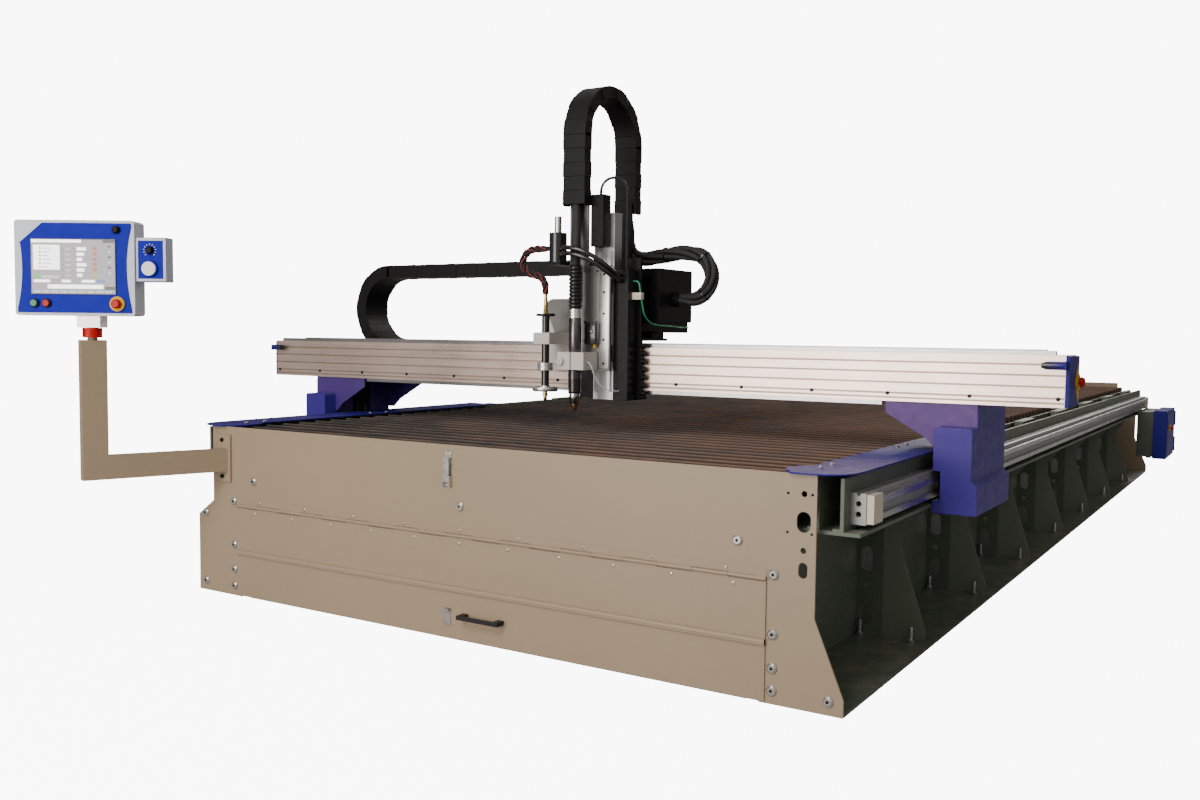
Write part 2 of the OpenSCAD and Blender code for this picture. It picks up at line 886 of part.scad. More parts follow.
// travel of a button
button_travel = 3; // [2.5:0.25:3.5]
// place of the console stop button from the spindle and the case underside
stop_place = [131, 49]; // across, up
// diameter of a stop button plate
stop_plate_d = 60; // [58:1:62]
// thickness of a stop button plate
stop_plate_t = 8; // [7:0.5:9]
// diameter of a stop button head
stop_head_d = 38; // [36:1:40]
// share of a head that is sloped
dome_share = 0.5; // [0.3:0.05:0.7]
// share of the diameter left at the top of a head
dome_end_share = 0.7; // [0.5:0.05:0.9]
// height of a stop button head
stop_head_h = 14; // [12:0.5:16]
// diameter of a stop button stem
stop_stem_d = 18; // [16:0.5:20]
// rise of a stop button head above its plate
stop_rise = 5; // [4.5:0.5:6]
// place of the selector knob from the spindle and the case underside
selector_place = [129, 347]; // across, up
// diameter of the selector knob
selector_d = 32; // [30:0.5:34]
// height of the selector knob
selector_h = 16; // [14:0.5:18]
// width, depth and height of the side box
side_box = [126, 70, 179]; // width, depth, height
// height of the side box above the case underside
side_box_up = 140; // [136:1:144]
// distance of the side box front behind the console front
side_box_back = 10; // [8:1:12]
// place of the dial from the side box corner
dial_place = [59, 127]; // across, up
// diameter of the dial
dial_d = 32; // [30:0.5:34]
// place of the white button from the side box corner
white_place = [57, 53]; // across, up
// diameter of the white button
white_d = 56; // [52:0.5:58]

/* [Control box] */
// depth, length and height of the control box body
control = [120, 580, 360]; // depth, length, height
// distance of the control box from the rear panel
control_from_rear = 420; // [410:5:430]
// rise of the control box above the shelf top
control_rise = 18; // [16:1:20]
// thickness of the control box cover
control_cover_t = 96; // [92:1:100]
// overhang of the cover around the body
control_cover_over = 12; // [10:1:14]
// thickness of the control box door
control_door_t = 4; // [3:0.5:5]
// margin of the door inside the cover
control_door_in = 24; // [22:1:28]
// gap between the door and the cover
control_door_gap = 0.5; // [0.4:0.1:0.8]
// diameter of the door hinge barrel
control_barrel_d = 12; // [11:0.5:13]
// diameter of the door hinge pin
control_pin_d = 6; // [5:0.5:7]
// height of a hinge knuckle
control_knuckle_h = 40; // [36:1:44]
// diameter and length of the cable gland
control_gland = [40, 36]; // diameter, length
// place of the stop button from the door front end and underside
control_stop_place = [150, 220]; // along, up

/* [Hidden] */
front_y = -bay_pitch * bay_count / 2;
table_l = bay_pitch * bay_count;
cut = 1;
wall_in = bed_w / 2;
wall_out = wall_in + wall_t;
shelf_top = shelf_z + shelf_t;
shelf_end = table_l - shelf_rear_gap;
web_out = rail_x - rail_w;
rail_end = table_l - rail_rear_gap;
slat_z = slat_top - slat_h;
gusset_reach = (gusset_head_x - gusset_fold_x + gusset_t) / cos(gusset_fold);
slat_count = floor((table_l - 2 * slat_start) / slat_pitch) + 1;
barrel_y = -door_gap - barrel_d / 2;
door_front = -door_gap - door_t;
knuckle_l = door_w / (2 * knuckle_pairs + 1);
bolt_column_x = door_w / 2 + bolt_door_gap + bolt_d / 2;
bolt_wing_x = bolt_column_x + bolt_wing_step;
latch_pivot_y = -latch_t - latch_reach;
latch_pivot_z = latch_z + latch_pivot;
lever_barrel_d = 2 * latch_pin_d;
lever_w = latch_w - 2 * (latch_ear_t + lever_gap);
beam_top = beam_z + beam_h;
beam_back = beam_front + beam_d;
leg_front = beam_front + leg_back;
leg_rear = leg_front + leg_l;
leg_mid = leg_front + leg_l / 2;
saddle_z = beam_z - saddle_t;
guide_out = rail_x + guide_t;
bearing_in = rail_x + bearing_stand;
bearing_out = bearing_in + bearing_size[0];
bearing_z = guide_z - (bearing_size[2] - guide_h) / 2;
bearing_ys = [leg_front + bearing_first, leg_rear - bearing_first - bearing_size[1]];
drive_x = rail_x + rack_t + drive_gap + gearbox[0] / 2;
sheet_out = leg_out + sheet_t;
cover_y = leg_front - cover_box_front;
end_face = beam_l / 2 + end_plate_t;
eye_y = beam_front - eye_front;
eye_z = beam_top - eye_drop;
gantry_stop_y = beam_front + gantry_stop_back;
gantry_stop_z = beam_top - gantry_stop_drop;
guide_mid = beam_front + beam_guide_back + beam_guide_w / 2;
carriage_back = beam_front - carriage_gap;
carriage_front = carriage_back - carriage_t;
carriage_right = carriage_left + carriage_w;
bridge_z = beam_top + slider_h;
bridge_top = bridge_z + bridge_t;
bridge_end = carriage_back + bridge_l;
lip_top = beam_z - slider_h;
column_front = carriage_front - column_d;
side_column_left = column_left + column_w + side_column_gap;
lift_back = column_front - lift_plate_front;
lift_face = lift_back - lift_plate_t;
motor_x = column_left + column_w / 2;
motor_y = column_front - lift_motor_gap - lift_motor[1] / 2;
chain_y = beam_back + chain_back;
tray_top = beam_top - tray_drop;
chain_mid_z = tray_top + chain_h + chain_r;
chain_up_z = chain_mid_z + chain_r;
lift_chain_back = lift_face - lift_bracket_t;
lift_chain_mid = lift_chain_back + lift_chain_r;
lift_chain_z = lift_chain_top - lift_chain_links * lift_chain_pitch;
mast_y = lift_chain_mid + lift_chain_r - mast_t;
chain_end_x = mast_left + mast_w - chain_bracket_w;
ignition_z = bridge_top + ignition_post[2] + ignition_bracket_h;
ignition_right = ignition_left + ignition[0];
clamp_y = torch_y - clamp_front;
knob_place = [torch_x - knob_in, clamp_z + clamp_h / 2];
console_z = post_top + console_lift;
swivel_z = post_top + clamp_collar_zs[1] + swivel_gap;
arm_dir = [-sin(arm_turn), -cos(arm_turn)];
spindle_at = [-arm_x, -flange_t] + (arm_l + post_l / 2) * arm_dir;
face_y = -console_front - face_t;
side_box_y = -console_front + side_box_back;
side_box_x = console_w - console_left;
side_box_z = console_z + side_box_up;
control_end = table_l - control_from_rear;
control_start = control_end - control[1];
control_top = shelf_top + control_rise;
control_z = control_top - control[2];
control_face = shelf_x + control[0] + control_cover_t;
control_pin_x = control_face + control_barrel_d / 2 + control_door_gap;
control_pin_y = control_end + control_cover_over - control_door_in;
control_door_start = control_start - control_cover_over + control_door_in;
control_door_low = control_z - control_cover_over + control_door_in;
control_door_high = control_top + control_cover_over - control_door_in;
control_door_out = control_face + control_door_gap + control_door_t;
control_stop_y = control_door_start + control_stop_place[0];
control_stop_z = control_door_low + control_stop_place[1];
bundle_route = [[61, 1101, 1722], [61, 1101, 1690], [61, 1101, 1650], [61, 1101, 1606], [74, 1102, 1556],
    [110, 1104, 1520], [160, 1105, 1507], [214, 1105, 1513], [272, 1105, 1523], [332, 1105, 1531],
    [390, 1105, 1531], [441, 1105, 1518], [477, 1105, 1481], [490, 1105, 1431], [477, 1105, 1381],
    [441, 1105, 1344], [390, 1105, 1331], [338, 1105, 1331]];
torch_lead_route = [[83, 650, 1465], [83, 650, 1486], [81, 653, 1540], [73, 667, 1600], [65, 681, 1658],
    [62, 686, 1704], [62, 686, 1722]];
marker_hose_route = [[-92, 690, 1540], [-124, 690, 1540], [-156, 689, 1540], [-184, 685, 1532],
    [-204, 680, 1512], [-212, 677, 1484], [-204, 677, 1456], [-184, 680, 1436], [-156, 685, 1428],
    [-128, 689, 1420], [-108, 690, 1400], [-100, 690, 1372], [-100, 690, 1346]];
earth_route = [[276, 797, 1400], [290, 797, 1400], [301, 797, 1396], [307, 797, 1386], [310, 797, 1372],
    [315, 799, 1340], [318, 806, 1300], [319, 824, 1258], [324, 862, 1228], [331, 920, 1216],
    [337, 1010, 1213], [340, 1090, 1208], [340, 1156, 1208], [340, 1170, 1208], [336, 1184, 1208],
    [322, 1190, 1208], [304, 1190, 1208]];
signal_route = [[199, 922, 1311], [199, 908, 1311], [199, 895, 1306], [199, 889, 1292], [201, 888, 1276],
    [207, 888, 1248], [215, 893, 1210], [220, 900, 1176], [220, 900, 1160]];
motor_route = [[145, 744, 1762], [145, 744, 1778], [152, 748, 1806], [170, 757, 1827], [194, 770, 1834],
    [219, 784, 1827], [237, 793, 1806], [244, 797, 1778], [244, 797, 1748], [244, 797, 1660],
    [244, 797, 1560], [244, 797, 1445]];

// A box between two opposite corners.
module box(low, high) {
    translate(low) cube(high - low);
}

// A flat shape drawn in X and Z, thick along Y from zero.
module plate_xz(t) {
    translate([0, t, 0]) rotate([90, 0, 0]) linear_extrude(t) children();
}

// A flat shape drawn in Y and Z, thick along X from zero.
module plate_yz(t) {
    rotate([90, 0, 90]) linear_extrude(t) children();
}

// A round bar along Z, X or towards the front.
module bar_z(d, l) {
    cylinder(d = d, h = l, $fn = 48);
}

module bar_x(d, l) {
    rotate([0, 90, 0]) cylinder(d = d, h = l, $fn = 48);
}

module bar_front(d, l) {
    rotate([90, 0, 0]) cylinder(d = d, h = l, $fn = 48);
}

// Places its children with the panel front at zero.
module table() {
    translate([0, front_y, 0]) children();
}

// Repeats its children on the other side of the middle.
module both_sides() {
    children();
    mirror([1, 0, 0]) children();
}

module at_gussets() {
    for (k = [1 : bay_count - 1]) {
        translate([0, k * bay_pitch, 0]) children();
    }
}

// Places its children in the turned frame of the console.
module at_console() {
    translate([spindle_at[0], front_y + spindle_at[1], 0]) rotate([0, 0, console_turn]) children();
}

// A flat rounded rectangle with its corner at zero.
module rounded(w, h, r) {
    translate([r, 0]) square([w - 2 * r, h]);
    translate([0, r]) square([w, h - 2 * r]);
    for (x = [r, w - r], y = [r, h - r]) {
        translate([x, y]) circle(r = r, $fn = 48);
    }
}

// A point on a smooth route through hand-placed points, straight over its first and last stretch.
function route_point(p, i, t) =
    let (last = len(p) - 2, b = p[i], c = p[i + 1],
        a = i == 1 ? c - 2 * (b - p[0]) : p[max(i - 1, 0)],
        e = i == last - 1 ? b + 2 * (p[last + 1] - c) : p[min(i + 2, last + 1)])
    i == 0 || i == last ? b + (c - b) * t
    : (2 * b + (c - a) * t + (2 * a - 5 * b + 4 * c - e) * t * t + (3 * b - a - 3 * c + e) * t * t * t) / 2;
function route_line(p, steps) = concat(
    [for (i = [0 : len(p) - 2], s = [0 : steps - 1]) route_point(p, i, s / steps)], [p[len(p) - 1]]);
function unit(v) = v / norm(v);
function heading(l, i) = i == 0 ? unit(l[1] - l[0])
    : i == len(l) - 1 ? unit(l[i] - l[i - 1]) : unit(l[i + 1] - l[i - 1]);
// The side direction is carried along the line so that the tube does not twist.
function carried(l, i, v) = let (h = heading(l, i)) unit(v - (v * h) * h);
function sides(l, i, v) = i == len(l) ? [] : let (w = carried(l, i, v)) concat([w], sides(l, i + 1, w));

// A soft tube along a route.
module tube(route, d, n, first_side) {
    line = route_line(route, 3);
    s = sides(line, 0, first_side);
    rings = len(line);
    points = [for (i = [0 : rings - 1], k = [0 : n - 1])
        let (a = 360 * k / n) line[i] + d / 2 * (cos(a) * s[i] + sin(a) * cross(heading(line, i), s[i]))];
    walls = [for (i = [0 : rings - 2], k = [0 : n - 1])
        [i * n + k, (i + 1) * n + k, (i + 1) * n + (k + 1) % n, i * n + (k + 1) % n]];
    ends = [[for (k = [0 : n - 1]) k], [for (k = [0 : n - 1]) rings * n - 1 - k]];
    polyhedron(points, concat(walls, ends));
}

// A straight run of open chain links along X, with its low corner at zero.
module link_run(count, pitch, w, h) {
    for (i = [0 : count - 1]) {
        translate([i * pitch, 0, 0]) {
            for (y = [0, w - link_side_t]) {
                translate([0, y, link_step]) cube([pitch, link_side_t, h - 2 * link_step]);
                translate([pitch * link_joint_share, y, 0])
                    cube([pitch * (1 - link_joint_share), link_side_t, h]);
            }
            for (z = [0, h - link_bar_t]) {
                translate([pitch * (1 - link_bar_share) / 2, 0, z])
                    cube([pitch * link_bar_share, w, link_bar_t]);
            }
        }
    }
}

// A half turn of chain links about Y, from pointing up through left to pointing down.
module link_turn(r, w, h) {
    step = 180 / bend_links;
    bar_l = link_bar_share * 2 * r * sin(step / 2);
    outer = [for (i = [0 : bend_links]) (r + h) * [-sin(i * step), cos(i * step)]];
    inner = [for (i = [0 : bend_links]) r * [-sin(180 - i * step), cos(180 - i * step)]];
    for (y = [0, w - link_side_t]) {
        translate([0, y, 0]) plate_xz(link_side_t) polygon(concat(outer, inner));
    }
    for (i = [0 : bend_links - 1], z = [r + link_step, r + h - link_step - link_bar_t]) {
        rotate([0, -(i + 1 / 2) * step, 0]) box([-bar_l / 2, link_side_t / 2, z],
            [bar_l / 2, w - link_side_t / 2, z + link_bar_t]);
    }
}

// A button ring and the round button that slides in it, both towards the front.
module button_ring(ring_d, d) {
    difference() {
        bar_front(ring_d, push_ring_h);
        translate([0, cut, 0]) bar_front(d + 2 * button_gap, push_ring_h + 2 * cut);
    }
}

module button_body(d) {
    translate([0, -button_travel - button_gap, 0])
        bar_front(d, push_ring_h + push_rise - button_travel - button_gap);
}

// The plate under a stop button and its mushroom head, both towards the front.
module stop_plate() {
    difference() {
        bar_front(stop_plate_d, stop_plate_t);
        translate([0, cut, 0]) bar_front(stop_stem_d + 2 * button_gap, stop_plate_t + 2 * cut);
    }
}

module stop_head() {
    translate([0, -button_travel - button_gap, 0])
        bar_front(stop_stem_d, stop_plate_t + stop_rise - button_travel - button_gap);
    translate([0, -stop_plate_t - stop_rise, 0]) rotate([90, 0, 0]) {
        cylinder(d = stop_head_d, h = stop_head_h * (1 - dome_share), $fn = 48);
        translate([0, 0, stop_head_h * (1 - dome_share)])
            cylinder(
                d1 = stop_head_d, d2 = stop_head_d * dome_end_share, h = stop_head_h * dome_share, $fn = 48);
    }
}

// A low round screw head on a face that looks to the front.
module screw_head(d, h) {
    bar_front(d, h * (1 - dome_share));
    translate([0, -h * (1 - dome_share), 0]) rotate([90, 0, 0])
        cylinder(d1 = d, d2 = d * dome_end_share, h = h * dome_share, $fn = 32);
}

// An upright slot with round ends.
module slot(size) {
    reach = (size[1] - size[0]) / 2;
    square([size[0], 2 * reach], center = true);
    for (z = [-reach, reach]) {
        translate([0, z]) circle(d = size[0], $fn = 48);
    }
}

module front_panel() {
    // The plate reaches past the bolts beside the door, however wide the door is.
    column_reach = bolt_column_x + bolt_d;
    wing_reach = bolt_wing_x + bolt_d;
    color([0.62, 0.56, 0.46]) table() plate_xz(panel_t) difference() {
        union() {
            polygon([[-panel_w / 2, panel_h], [panel_w / 2, panel_h], [panel_w / 2, right_wing_top],
                [foot_w / 2, right_wing_full], [foot_w / 2, 0], [-foot_w / 2, 0],
                [-foot_w / 2, left_wing_full], [-panel_w / 2, left_wing_top]]);
            translate([-column_reach, 0]) square([2 * column_reach, max(bolt_column_places) + bolt_d]);
            translate([-wing_reach, 0]) square([wing_reach, left_wing_full]);
            square([wing_reach, right_wing_full]);
        }
        translate([-opening_w / 2, -cut]) square([opening_w, opening_h + cut]);
        translate([panel_w / 2 - slot_in, panel_h]) {
            translate([0, -upper_slot_drop]) slot(upper_slot);
            translate([0, -lower_slot_drop]) slot(lower_slot);
            for (drop = edge_hole_drops) {
                translate([0, -drop]) circle(d = edge_hole_d, $fn = 32);
            }
        }
        for (x = tap_hole_ins, drop = tap_hole_drops) {
            translate([panel_w / 2 - x, panel_h - drop]) circle(d = tap_hole_d, $fn = 32);
        }
    }
}

module rear_panel() {
    color([0.62, 0.56, 0.46]) table() translate([0, table_l - panel_t, 0]) plate_xz(panel_t)
        polygon([[-rear_panel_w / 2, rear_panel_h], [rear_panel_w / 2, rear_panel_h],
            [rear_panel_w / 2, shelf_z], [panel_w / 2, shelf_z], [panel_w / 2, right_wing_top],
            [foot_w / 2, right_wing_full], [foot_w / 2, 0], [-foot_w / 2, 0], [-foot_w / 2, left_wing_full],
            [-panel_w / 2, left_wing_top], [-panel_w / 2, shelf_z], [-rear_panel_w / 2, shelf_z]]);
}

module bed_trough() {
    color([0.3, 0.32, 0.3]) table() {
        both_sides() box([wall_in, panel_t, base_t], [wall_out, table_l - panel_t, slat_z]);
        box([base_inset - wall_in, panel_t, 0], [wall_in - base_inset, table_l - panel_t, floor_t]);
    }
}

// Base plates with their anchor holes, and the folded gussets that stand on them.
module side_gussets() {
    color([0.24, 0.28, 0.26]) table() both_sides() {
        difference() {
            box([wall_in - base_inset, base_end_gap, 0], [foot_w / 2, table_l - base_end_gap, base_t]);
            for (y = [bay_pitch - anchor_from_gusset, (bay_count - 1) * bay_pitch + anchor_from_gusset]) {
                translate([anchor_x, y, -cut]) bar_z(anchor_d, base_t + 2 * cut);
            }
        }
        at_gussets() intersection() {
            translate([0, -gusset_t, 0]) plate_xz(gusset_reach * sin(gusset_fold) + 2 * gusset_t)
                gusset_outline();
            translate([0, 0, base_t]) linear_extrude(shelf_z - base_t) gusset_plan();
        }
    }
}

// A gusset seen from above: a strip from the wall that is folded once to the rear.
module gusset_plan() {
    half = gusset_t / 2;
    mitre = half * tan(gusset_fold / 2);
    tip = [gusset_fold_x, 0] + gusset_reach * [cos(gusset_fold), sin(gusset_fold)];
    side = half * [-sin(gusset_fold), cos(gusset_fold)];
    polygon([[wall_out, -half], [gusset_fold_x + mitre, -half], tip - side, tip + side,
        [gusset_fold_x - mitre, half], [wall_out, half]]);
}

module gusset_outline() {
    difference() {
        polygon([[wall_out, base_t], [gusset_foot_x, base_t], [gusset_foot_x, base_t + gusset_foot_h],
            [gusset_waist_x, gusset_waist_low], [gusset_waist_x, gusset_waist_high], [gusset_head_x, shelf_z],
            [wall_out, shelf_z]]);
        for (z = [obround_low, obround_high]) {
            translate([obround_x, z]) slot([obround_w, obround_h]);
        }
        translate([obround_x, peep_z]) circle(d = peep_d, $fn = 32);
    }
}

// Side shelves with the cable trough plates, the rail webs and the slat combs that stand on them.
module side_shelves() {
    color([0.3, 0.33, 0.31]) table() both_sides() {
        box([wall_out, shelf_start, shelf_z], [shelf_x, shelf_end, shelf_top]);
        box([trough_x, shelf_start, shelf_top], [trough_x + trough_t, shelf_end, web_top]);
        box([trough_x - trough_foot_w, shelf_start, shelf_top],
            [trough_x, shelf_end, shelf_top + plate_foot_h]);
        box([web_out - web_t, shelf_start, shelf_top], [web_out, shelf_end, web_top]);
        box([web_out - web_t - web_foot_w, shelf_start, shelf_top],
            [web_out - web_t, shelf_end, shelf_top + plate_foot_h]);
        difference() {
            box([comb_x, shelf_start, shelf_top], [comb_x + comb_t, shelf_end, comb_top]);
            for (i = [0 : slat_count - 1]) {
                y = slat_start + i * slat_pitch;
                box([comb_x - cut, y - slat_play, slat_z],
                    [comb_x + comb_t + cut, y + slat_t + slat_play, comb_top + cut]);
            }
        }
    }
}

module rails() {
    rail_l = rail_end - rail_start;
    color([0.72, 0.73, 0.74]) table() both_sides() translate([web_out, rail_start, rail_z]) difference() {
        cube([rail_w, rail_l, rail_h]);
        for (z = [rail_h / 3, 2 * rail_h / 3]) {
            translate([rail_w / 2, -cut, z]) rotate([-90, 0, 0]) bar_z(rail_bore_d, rail_l + 2 * cut);
        }
        translate([(rail_w - rail_slot_w) / 2, -cut, rail_h - rail_slot_h])
            cube([rail_slot_w, rail_l + 2 * cut, rail_slot_h + cut]);
    }
}

// Hardened guide rails and gear racks on the outer faces of the rails.
module rail_guides() {
    color([0.55, 0.56, 0.58]) table() both_sides() {
        low = rail_start + stop_inset + stop_l;
        high = rail_end - stop_inset - stop_l;
        box([rail_x, low, guide_z], [guide_out, high, guide_z + guide_h]);
        box([rail_x, low, rack_z], [rail_x + rack_t, high, rack_z + rack_h]);
    }
}

module rail_stops() {
    color([0.75, 0.68, 0.52]) table() both_sides() {
        for (y = [rail_start + stop_inset, rail_end - stop_inset - stop_l]) {
            box([rail_x, y, rail_z + stop_inset], [rail_x + stop_t, y + stop_l, rail_z + rail_h - stop_inset]);
        }
    }
}

module slats() {
    color([0.35, 0.33, 0.31]) table() {
        for (i = [0 : slat_count - 1]) {
            translate([-slat_l / 2, slat_start + i * slat_pitch, slat_z]) cube([slat_l, slat_t, slat_h]);
        }
    }
}

module side_covers() {
    color([0.16, 0.16, 0.55]) table() both_sides() translate([cover_in_x, -cover_front, panel_h])
        linear_extrude(cover_t) {
            w = cover_out_x - cover_in_x;
            square([w - cover_r, cover_l]);
            translate([0, cover_r]) square([w, cover_l - cover_r]);
            translate([w - cover_r, cover_r]) circle(r = cover_r, $fn = 64);
        }
}

// Bent straps over the cable trough that stand on the web foot and carry the side covers.
module cover_hoops() {
    color([0.3, 0.33, 0.31]) table() both_sides() at_gussets() {
        left = (trough_x + trough_t + web_out - web_t - hoop_w) / 2;
        for (y = [-hoop_half, hoop_half - hoop_t]) {
            box([left, y, shelf_top + plate_foot_h], [left + hoop_w, y + hoop_t, panel_h]);
        }
        box([left, hoop_t - hoop_half, panel_h - hoop_t], [left + hoop_w, hoop_half - hoop_t, panel_h]);
    }
}

// Screws and bolts of the table, each a solid of its own, with the levelling studs and their nuts.
module fasteners() {
    color([0.85, 0.84, 0.8]) table() {
        for (side = [-1, 1], z = bolt_column_places) {
            translate([side * bolt_column_x, 0, z]) screw_head(bolt_d, bolt_h);
        }
        for (z = bolt_wing_places[0]) {
            translate([-bolt_wing_x, 0, z]) screw_head(bolt_d, bolt_h);
        }
        for (z = bolt_wing_places[1]) {
            translate([bolt_wing_x, 0, z]) screw_head(bolt_d, bolt_h);
        }
        for (side = [-1, 0, 1]) {
            translate([side * bolt_upper_x, 0, bolt_upper_z]) screw_head(bolt_d, bolt_h);
        }
        for (z = [flange_zs[0] + flange_screw_in, flange_zs[1] - flange_screw_in]) {
            translate([-flange_x, -flange_t, z]) screw_head(flange_screw[0], flange_screw[1]);
        }
        both_sides() for (y = cover_screw_places) {
            translate([cover_in_x + cover_screw_in, y, panel_h + cover_t]) rotate([-90, 0, 0])
                screw_head(cover_screw_d, cover_screw_h);
        }
        both_sides() at_gussets() for (x = [stud_in_x, stud_out_x]) {
            translate([x, -stud_offset, base_t]) {
                bar_z(stud_d, stud_h);
                cylinder(d = stud_nut_d, h = stud_nut_h, $fn = 6);
            }
        }
        for (i = [0 : floor(door_w / leaf_screw_pitch) - 1]) {
            translate([(i + 1 / 2) * leaf_screw_pitch - door_w / 2, -leaf_t, hinge_z + leaf_screw_drop])
                screw_head(leaf_screw_d, leaf_screw_h);
        }
    }
}

// The fixed leaf with its knuckles, and the pin.
module door_hinge() {
    color([0.7, 0.68, 0.62]) table() {
        leaf_z = hinge_z + barrel_d / 2 + knuckle_gap;
        box([-door_w / 2, -leaf_t, leaf_z], [door_w / 2, 0, leaf_z + leaf_w]);
        for (i = [0 : knuckle_pairs]) {
            translate([2 * i * knuckle_l - door_w / 2, 0, 0]) difference() {
                union() {
                    translate([0, barrel_y, hinge_z]) bar_x(barrel_d, knuckle_l);
                    box([0, barrel_y, hinge_z], [knuckle_l, 0, leaf_z]);
                }
                translate([-cut, barrel_y, hinge_z]) bar_x(pin_d, knuckle_l + 2 * cut);
            }
        }
        translate([-door_w / 2, barrel_y, hinge_z]) bar_x(pin_d, door_w);
    }
}

module slag_door() {
    color([0.62, 0.56, 0.46]) table() {
        box([-door_w / 2, door_front, door_low], [door_w / 2, -door_gap, door_top]);
        box([-door_w / 2, door_front - rib_t, rib_z], [door_w / 2, door_front, rib_z + rib_w]);
        for (i = [1 : knuckle_pairs]) {
            translate([(2 * i - 1) * knuckle_l + knuckle_gap - door_w / 2, 0, 0]) difference() {
                union() {
                    translate([0, barrel_y, hinge_z]) bar_x(barrel_d, knuckle_l - 2 * knuckle_gap);
                    box([0, door_front, door_top], [knuckle_l - 2 * knuckle_gap, -door_gap, hinge_z]);
                }
                translate([-cut, barrel_y, hinge_z]) bar_x(pin_d + 2 * pin_play, knuckle_l + 2 * cut);
            }
        }
    }
}

// The bow handle and the keeper that the latch pulls on.
module door_handle() {
    color([0.2, 0.2, 0.2]) table() {
        low = handle_z - handle_h / 2;
        bar_y = door_front - handle_reach;
        translate([handle_x, 0, low]) {
            box([-handle_l / 2, bar_y, 0], [handle_l / 2, bar_y + handle_t, handle_h]);
            for (x = [-handle_l / 2, handle_l / 2 - handle_foot_w]) {
                box([x, bar_y + handle_t, 0], [x + handle_foot_w, door_front, handle_h]);
            }
        }
        translate([latch_x - latch_w / 2, door_front - latch_t, keeper_z]) {
            cube([latch_w, latch_t, keeper_h]);
            translate([0, -keeper_hook, keeper_h - keeper_hook_h]) cube([latch_w, keeper_hook, latch_t]);
            translate([0, -keeper_hook, keeper_h - keeper_hook_h]) cube([latch_w, latch_t, keeper_hook_h]);
        }
    }
}

module latch_base() {
    color([0.75, 0.74, 0.7]) table() translate([latch_x, 0, 0]) {
        box([-latch_w / 2, -latch_t, latch_z], [latch_w / 2, 0, latch_z + latch_h]);
        for (x = [-latch_w / 2, latch_w / 2 - latch_ear_t]) {
            box([x, latch_pivot_y - lever_barrel_d / 2, latch_z],
                [x + latch_ear_t, -latch_t, latch_z + 2 * latch_pivot]);
        }
        translate([-latch_w / 2, latch_pivot_y, latch_pivot_z]) bar_x(latch_pin_d, latch_w);
    }
}

module latch_lever() {
    color([0.8, 0.79, 0.75]) table() translate([latch_x - lever_w / 2, latch_pivot_y, latch_pivot_z])
        difference() {
            union() {
                bar_x(lever_barrel_d, lever_w);
                box([0, -lever_barrel_d / 2, 0], [lever_w, lever_t - lever_barrel_d / 2, lever_l]);
            }
            translate([-cut, 0, 0]) bar_x(latch_pin_d + 2 * pin_play, lever_w + 2 * cut);
        }
}

module beam() {
    color([0.74, 0.75, 0.76]) table() translate([-beam_l / 2, 0, 0]) plate_yz(beam_l) difference() {
        translate([beam_front, beam_z]) square([beam_d, beam_h]);
        translate([beam_front + beam_wall + groove_d, beam_z + beam_wall])
            square([beam_d - 2 * beam_wall - groove_d, beam_h - 2 * beam_wall]);
        for (drop = groove_drops) {
            translate([beam_front - cut, beam_top - drop - groove_w / 2]) square([groove_d + cut, groove_w]);
        }
    }
}

// End plates with the light barriers at the beam front and the plate of the gantry stop button.
module beam_ends() {
    color([0.16, 0.16, 0.55]) table() {
        both_sides() {
            box([beam_l / 2, beam_front + end_plate_inset, beam_z + end_plate_inset],
                [end_face, beam_back - end_plate_inset, beam_top - end_plate_inset]);
            box([beam_l / 2, eye_y - eye_d / 2, eye_z - eye_d / 2],
                [beam_l / 2 + eye_plate_t, beam_front + end_plate_inset, eye_z + eye_d / 2]);
            translate([beam_l / 2 - eye_l, eye_y, eye_z]) bar_x(eye_d, eye_l);
            translate([beam_l / 2 - eye_l - eye_lens_l, eye_y, eye_z]) bar_x(eye_lens_d, eye_lens_l);
        }
        translate([end_face, gantry_stop_y, gantry_stop_z]) rotate([0, 0, 90]) stop_plate();
    }
}

module gantry_stop() {
    color([0.75, 0.08, 0.06]) table() translate([end_face, gantry_stop_y, gantry_stop_z])
        rotate([0, 0, 90]) stop_head();
}

// Saddle, web, bearing and outer plates of both gantry legs.
module legs() {
    color([0.72, 0.66, 0.54]) table() both_sides() {
        plate_x = bearing_out + bearing_plate_t;
        box([leg_in, leg_front, saddle_z], [leg_out, leg_rear, beam_z]);
        for (y = [leg_front, leg_rear - leg_t]) {
            translate([0, y, 0]) plate_xz(leg_t) polygon([[leg_in, saddle_z], [leg_in, leg_slant_z[0]],
                [leg_slant_x[0], leg_slant_z[1]], [leg_slant_x[1], leg_web_z], [leg_out, leg_web_z],
                [leg_out, saddle_z]]);
        }
        for (y = [[leg_front + leg_t, leg_mid - drive_bay / 2], [leg_mid + drive_bay / 2, leg_rear - leg_t]]) {
            box([bearing_out, y[0], bearing_z], [plate_x, y[1], saddle_z]);
        }
        box([leg_out - leg_outer_t, leg_front + leg_t, leg_outer_z], [leg_out, leg_rear - leg_t, saddle_z]);
        box([bearing_out, leg_mid - drive_bay / 2, motor_plate_z],
            [leg_out - leg_outer_t, leg_mid + drive_bay / 2, motor_plate_z + motor_plate_t]);
    }
}

